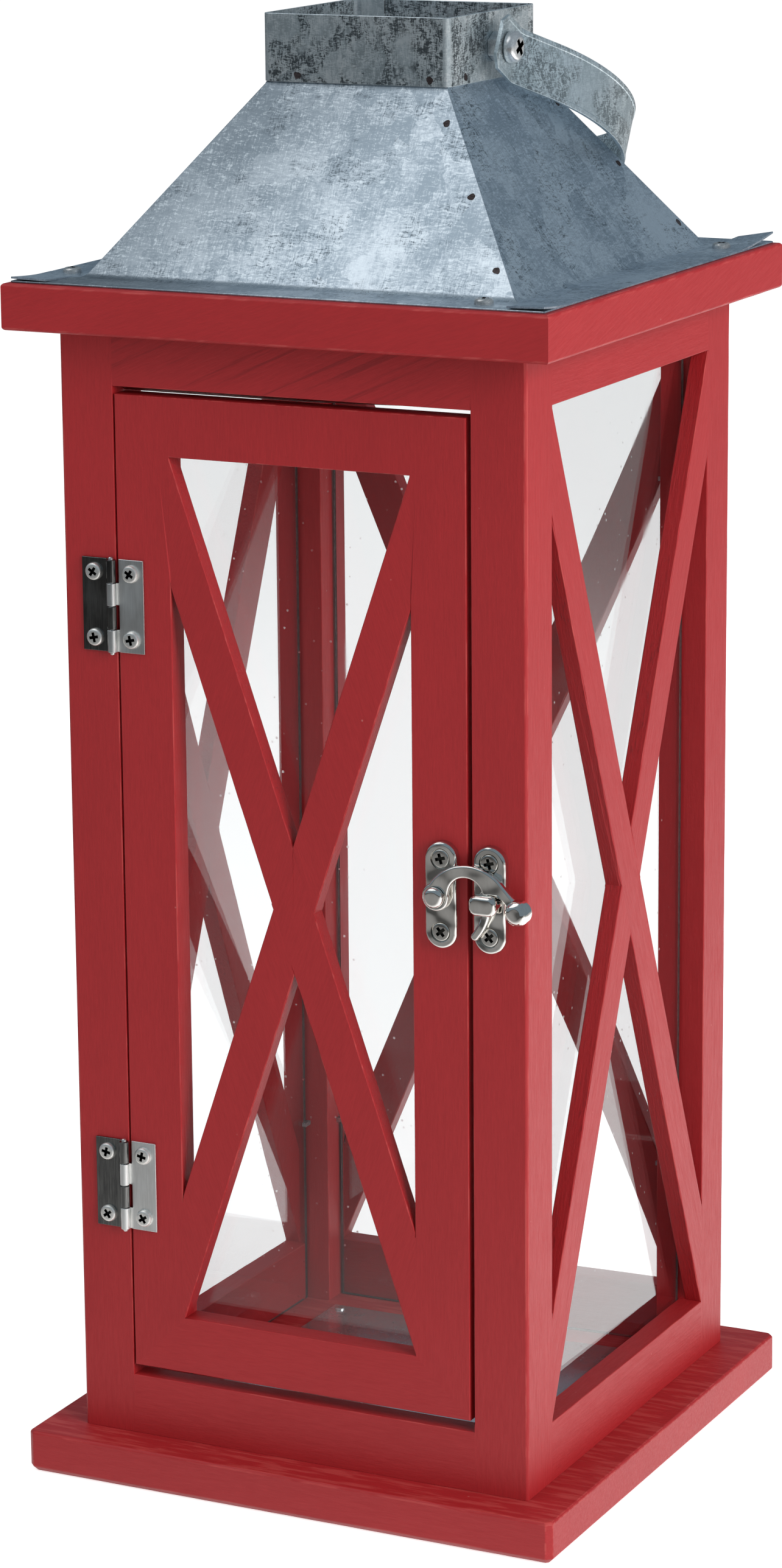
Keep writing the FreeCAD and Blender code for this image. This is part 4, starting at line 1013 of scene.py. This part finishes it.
nickel = polished("nickel_plate", (0.74, 0.72, 0.68), (0.88, 0.86, 0.82), roughness=0.05, wave=1.0 * MM)
nickel_screws = polished("nickel_screws", (0.60, 0.58, 0.54), (0.76, 0.74, 0.70), roughness=0.10,
                         wave=0.2 * MM)
PLATE_WIDTH = 9.2 * MM
PLATE_HEIGHT = 29 * MM
PLATE_THICKNESS = 2.4 * MM
PLATE_ROUNDING = 0.9 * MM
PLATE_SCREW_END = 4.6 * MM
PLATE_SCREW_SEAT = 1.5 * MM
SEAT_RADIUS = 2.8 * MM


def plate_screw_places(node):
    """Where the two screws of a plate sit: their seats, the way they face and their turn."""
    low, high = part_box(node)
    x = high.x - PLATE_SCREW_END
    return [((x, high.y - PLATE_SCREW_SEAT, low.z + PLATE_SCREW_END), (0, -1, 0), 40),
            ((x, high.y - PLATE_SCREW_SEAT, high.z - PLATE_SCREW_END), (0, -1, 0), 15)]


def plate_disc(name, radius, middle):
    """A round disc as thick as a plate, that lies along Y."""
    return round_bar(name, 48, radius, PLATE_THICKNESS, middle, (math.pi / 2, 0, 0))


def rounded_front(piece, wood):
    """Rounds the rim of the front face of a plate that lies on wood."""
    front = wood - PLATE_THICKNESS
    with editing(piece):
        pick(piece, "EDGE", lambda edge: all(vert.co.y < front + 0.01 * MM for vert in edge.verts))
        rounded(piece, PLATE_ROUNDING, 5)


def pressed_plate(name, places):
    """A plate with round ends and a rounded rim, and a round seat sunk for each screw."""
    ends = [Vector(point) for point, outward, spin in places]
    wood = ends[0].y + PLATE_SCREW_SEAT
    middle = Vector((ends[0].x, wood - PLATE_THICKNESS / 2, (ends[0].z + ends[1].z) / 2))
    piece = plate_disc(name, PLATE_WIDTH / 2, middle)
    for vert in piece.data.vertices:
        vert.co.z += math.copysign((PLATE_HEIGHT - PLATE_WIDTH) / 2, vert.co.z - middle.z)
    rounded_front(piece, wood)
    for end in ends:
        seat_cut = plate_disc("seat", SEAT_RADIUS, end + Vector((0, -PLATE_THICKNESS / 2, 0)))
        joined_by(piece, seat_cut, "DIFFERENCE")
    return piece


def plate_screwed(owner, places):
    """The two screws of a plate."""
    sample = cross_screw("plate_screw", head=5.2 * MM, rise=0.9 * MM, shank=2 * MM, length=5 * MM)
    plate_screws = set_in_place(sample, f"{owner}_plate_screws_cross", places)
    fitted(plate_screws, nickel_screws, owner, "zinc_fasteners")


catch_places = plate_screw_places("latch_catch_plate")
catch = pressed_plate("latch_catch_plate_nickel", catch_places)
button = taken_from("latch_catch_plate", "catch_button")
button_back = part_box("latch_catch_plate")[1].y - PLATE_THICKNESS - 0.02 * MM
with editing(button):
    bpy.ops.mesh.select_all(action="SELECT")
    bpy.ops.mesh.bisect(plane_co=(0, button_back, 0), plane_no=(0, 1, 0), use_fill=True, clear_outer=True,
                        threshold=0.001 * MM)
eased(button, 0.4 * MM, 4, 0.1 * MM)
smoothed(catch)
joined([catch, button])
fitted(catch, nickel, "frame", "nickel_plate", "latch_catch_plate")
plate_screwed("frame", catch_places)

# Door: two stiles and two rails mitred at the corners, glued round a pair of crossing braces.
# The front is planed and painted, and the braces' edges are left rough from the saw.

for part in ("hinge_stile", "latch_stile", "top_rail"):
    painted(f"door_{part}", paint_upright, "door")
painted("door_bottom_rail", paint_across, "door")
DOOR_OPENING = (70.6, 239.8)
door_lean = brace_lean(*DOOR_OPENING)
for run, turn in (("falling", -door_lean), ("rising", door_lean)):
    brace(f"door_{run}_brace", red_paint(f"red_paint_door_{run}", (0, turn, 0)), "door", BACKWARDS)

# Door pane: a sheet of the same clear glass with ground edges.
# It lies against the back of the door and is held by brads bent over it.

glazed("door_pane", "door", BACKWARDS)
left_plain("door_glazing_brads", zinc_wire)

# Latch pivot plate and rivet: a pressed plate like the catch's, with a round boss at one side.
# The rivet holds the hook down on the boss, loose enough to turn.

RIVET_RISE = 1.5 * MM
rivet_low, rivet_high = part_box("latch_rivet")
rivet_seat = ((rivet_low.x + rivet_high.x) / 2, rivet_low.y + RIVET_RISE, (rivet_low.z + rivet_high.z) / 2)
pivot_places = plate_screw_places("latch_pivot_plate")
pivot = pressed_plate("latch_pivot_plate_nickel", pivot_places)
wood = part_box("latch_pivot_plate")[1].y
boss = plate_disc("boss", PLATE_WIDTH / 2, (rivet_seat[0], wood - PLATE_THICKNESS / 2, rivet_seat[2]))
rounded_front(boss, wood)
joined_by(pivot, boss, "UNION")
smoothed(pivot)
fitted(pivot, nickel, "door", "nickel_plate", "latch_pivot_plate")
plate_screwed("door", pivot_places)

rivet_head = domed_head("rivet", 2.85 * MM, RIVET_RISE, shank=3 * MM, length=4.6 * MM, dome=1.35 * MM)
rivet = set_in_place(rivet_head, "latch_rivet_domed", [(rivet_seat, (0, -1, 0), 0)])
fitted(rivet, nickel, "door", "nickel_plate", "latch_rivet")

# Hook: a cast and nickel plated arm, rounded all over, with a boss, an arch, a prong that
# slides behind the catch's button, and a finger tab that ends in a small knob.

hook = taken_from("latch_arm", "latch_hook_nickel")
eased(hook, 0.62 * MM, 4, 0.05 * MM)
fitted(hook, nickel, "latch", "nickel_plate", "latch_arm")

# Studio: a pale table which, in reflections only, glows with a painted light that is bright on the right
# and behind, in a room that is dim in front. A large soft light stands low on the right, and a paler one
# hangs over the front left.
# Bare metal mirrors the large light more weakly than it shines, so that no sheet turns white.

scene = bpy.context.scene
scene.view_settings.view_transform = "Standard"
WHITE = (1, 1, 1)
DIM_ROOM = (0.62, 0.80, 0.95)
ROOM_LEVEL = 0.42
MIRRORED_DROP = -0.14
TABLE_GLOW = 0.68


def ray_kinds(tree):
    """Which rays see the stage straight or through glass, and which see it in a reflection."""
    rays = add_node(tree, "ShaderNodeLightPath").outputs
    mirrored = reckon(tree, "MINIMUM", rays["Glossy Depth"], 1.0)
    straight = reckon(tree, "MAXIMUM", rays["Is Camera Ray"], rays["Is Transmission Ray"])
    return reckon(tree, "MULTIPLY", straight, reckon(tree, "SUBTRACT", 1.0, mirrored)), mirrored


bpy.ops.object.select_all(action="DESELECT")
bpy.ops.mesh.primitive_plane_add(size=40, location=(0, 0, 0))
floor = bpy.context.object
floor.name = "studio_floor"
floor_material, tree, shader = new_material("pale_floor")
shader.inputs["Base Color"].default_value = (0.86, 0.86, 0.86, 1)
shader.inputs["Roughness"].default_value = 0.9
direct, mirrored = ray_kinds(tree)
place = on_piece(tree)
distance = add_node(tree, "ShaderNodeVectorMath", operation="LENGTH")
tree.links.new(place, distance.inputs[0])
# painted light: in reflections the table glows brighter on the right, behind and near the lantern
sheen_by_side = ranged(tree, measured(tree, place, (0.6, 0.8, 0)), -0.35, 0.15, 0.30, 1.9)
sheen_by_distance = ranged(tree, distance.outputs["Value"], 0.25, 1.5, 1.0, 0.25)
painted_table_sheen = reckon(tree, "MULTIPLY", sheen_by_side, sheen_by_distance)
pale = add_node(tree, "ShaderNodeEmission", {"Color": (*WHITE, 1)})
tree.links.new(reckon(tree, "MULTIPLY", direct, TABLE_GLOW), pale.inputs["Strength"])
both = add_node(tree, "ShaderNodeAddShader")
tree.links.new(shader.outputs["BSDF"], both.inputs[0])
tree.links.new(pale.outputs["Emission"], both.inputs[1])
sheen = add_node(tree, "ShaderNodeEmission", {"Color": (*WHITE, 1)})
tree.links.new(painted_table_sheen, sheen.inputs["Strength"])
seen = add_node(tree, "ShaderNodeMixShader")
tree.links.new(mirrored, seen.inputs[0])
tree.links.new(both.outputs["Shader"], seen.inputs[1])
tree.links.new(sheen.outputs["Emission"], seen.inputs[2])
tree.links.new(seen.outputs["Shader"], tree.nodes["Material Output"].inputs["Surface"])
floor.data.materials.append(floor_material)

world = bpy.data.worlds.new("studio_room")
scene.world = world
world.use_nodes = True
tree = world.node_tree
background = tree.nodes["Background"]
direct, mirrored = ray_kinds(tree)
room = reckon(tree, "MULTIPLY_ADD", direct, 1 - ROOM_LEVEL, ROOM_LEVEL)
tree.links.new(reckon(tree, "MULTIPLY_ADD", mirrored, MIRRORED_DROP, room), background.inputs["Strength"])
tree.links.new(blended(tree, mirrored, WHITE, DIM_ROOM), background.inputs["Color"])


def soft_light(name, place, aim, size, power):
    """A square soft box, turned to face a point."""
    lamp = bpy.data.lights.new(name, "AREA")
    lamp.shape = "SQUARE"
    lamp.size = size
    lamp.energy = power
    made = bpy.data.objects.new(name, lamp)
    bpy.context.scene.collection.objects.link(made)
    made.location = place
    made.rotation_euler = (Vector(aim) - Vector(place)).to_track_quat("-Z", "Y").to_euler()
    made.visible_camera = False
    return made


KEY_PLACE = (1.85, -0.6, 0.85)
KEY_AIM = (0, 0, 0.2)
KEY_SIZE = 1.2
key = soft_light("key_right", KEY_PLACE, KEY_AIM, KEY_SIZE, power=31)
key.visible_glossy = False
glint = soft_light("glint_right", KEY_PLACE, KEY_AIM, KEY_SIZE, power=10)
glint.visible_diffuse = False
glint.visible_transmission = False
soft_light("fill_overhead", (-0.95, -0.95, 2.0), (0, 0, 0.3), size=1.7, power=9)

# Camera: a long lens that looks at the door side from the right and a little from above.
# Its place, its angles and its small roll were solved from the lantern's corners in the photo.

camera = bpy.data.objects.new("camera", bpy.data.cameras.new("camera"))
scene.collection.objects.link(camera)
scene.camera = camera
camera.data.sensor_fit = "VERTICAL"
camera.data.sensor_height = 36
camera.data.lens = 108.1
camera.location = (0.5589, -1.1412, 0.4962)
AZIMUTH = math.radians(26.283)
ELEVATION = math.radians(13.64)
ROLL = math.radians(-0.496)
turn = Euler((math.pi / 2 - ELEVATION, 0, AZIMUTH)).to_matrix() @ Matrix.Rotation(ROLL, 3, "Z")
camera.rotation_euler = turn.to_euler()
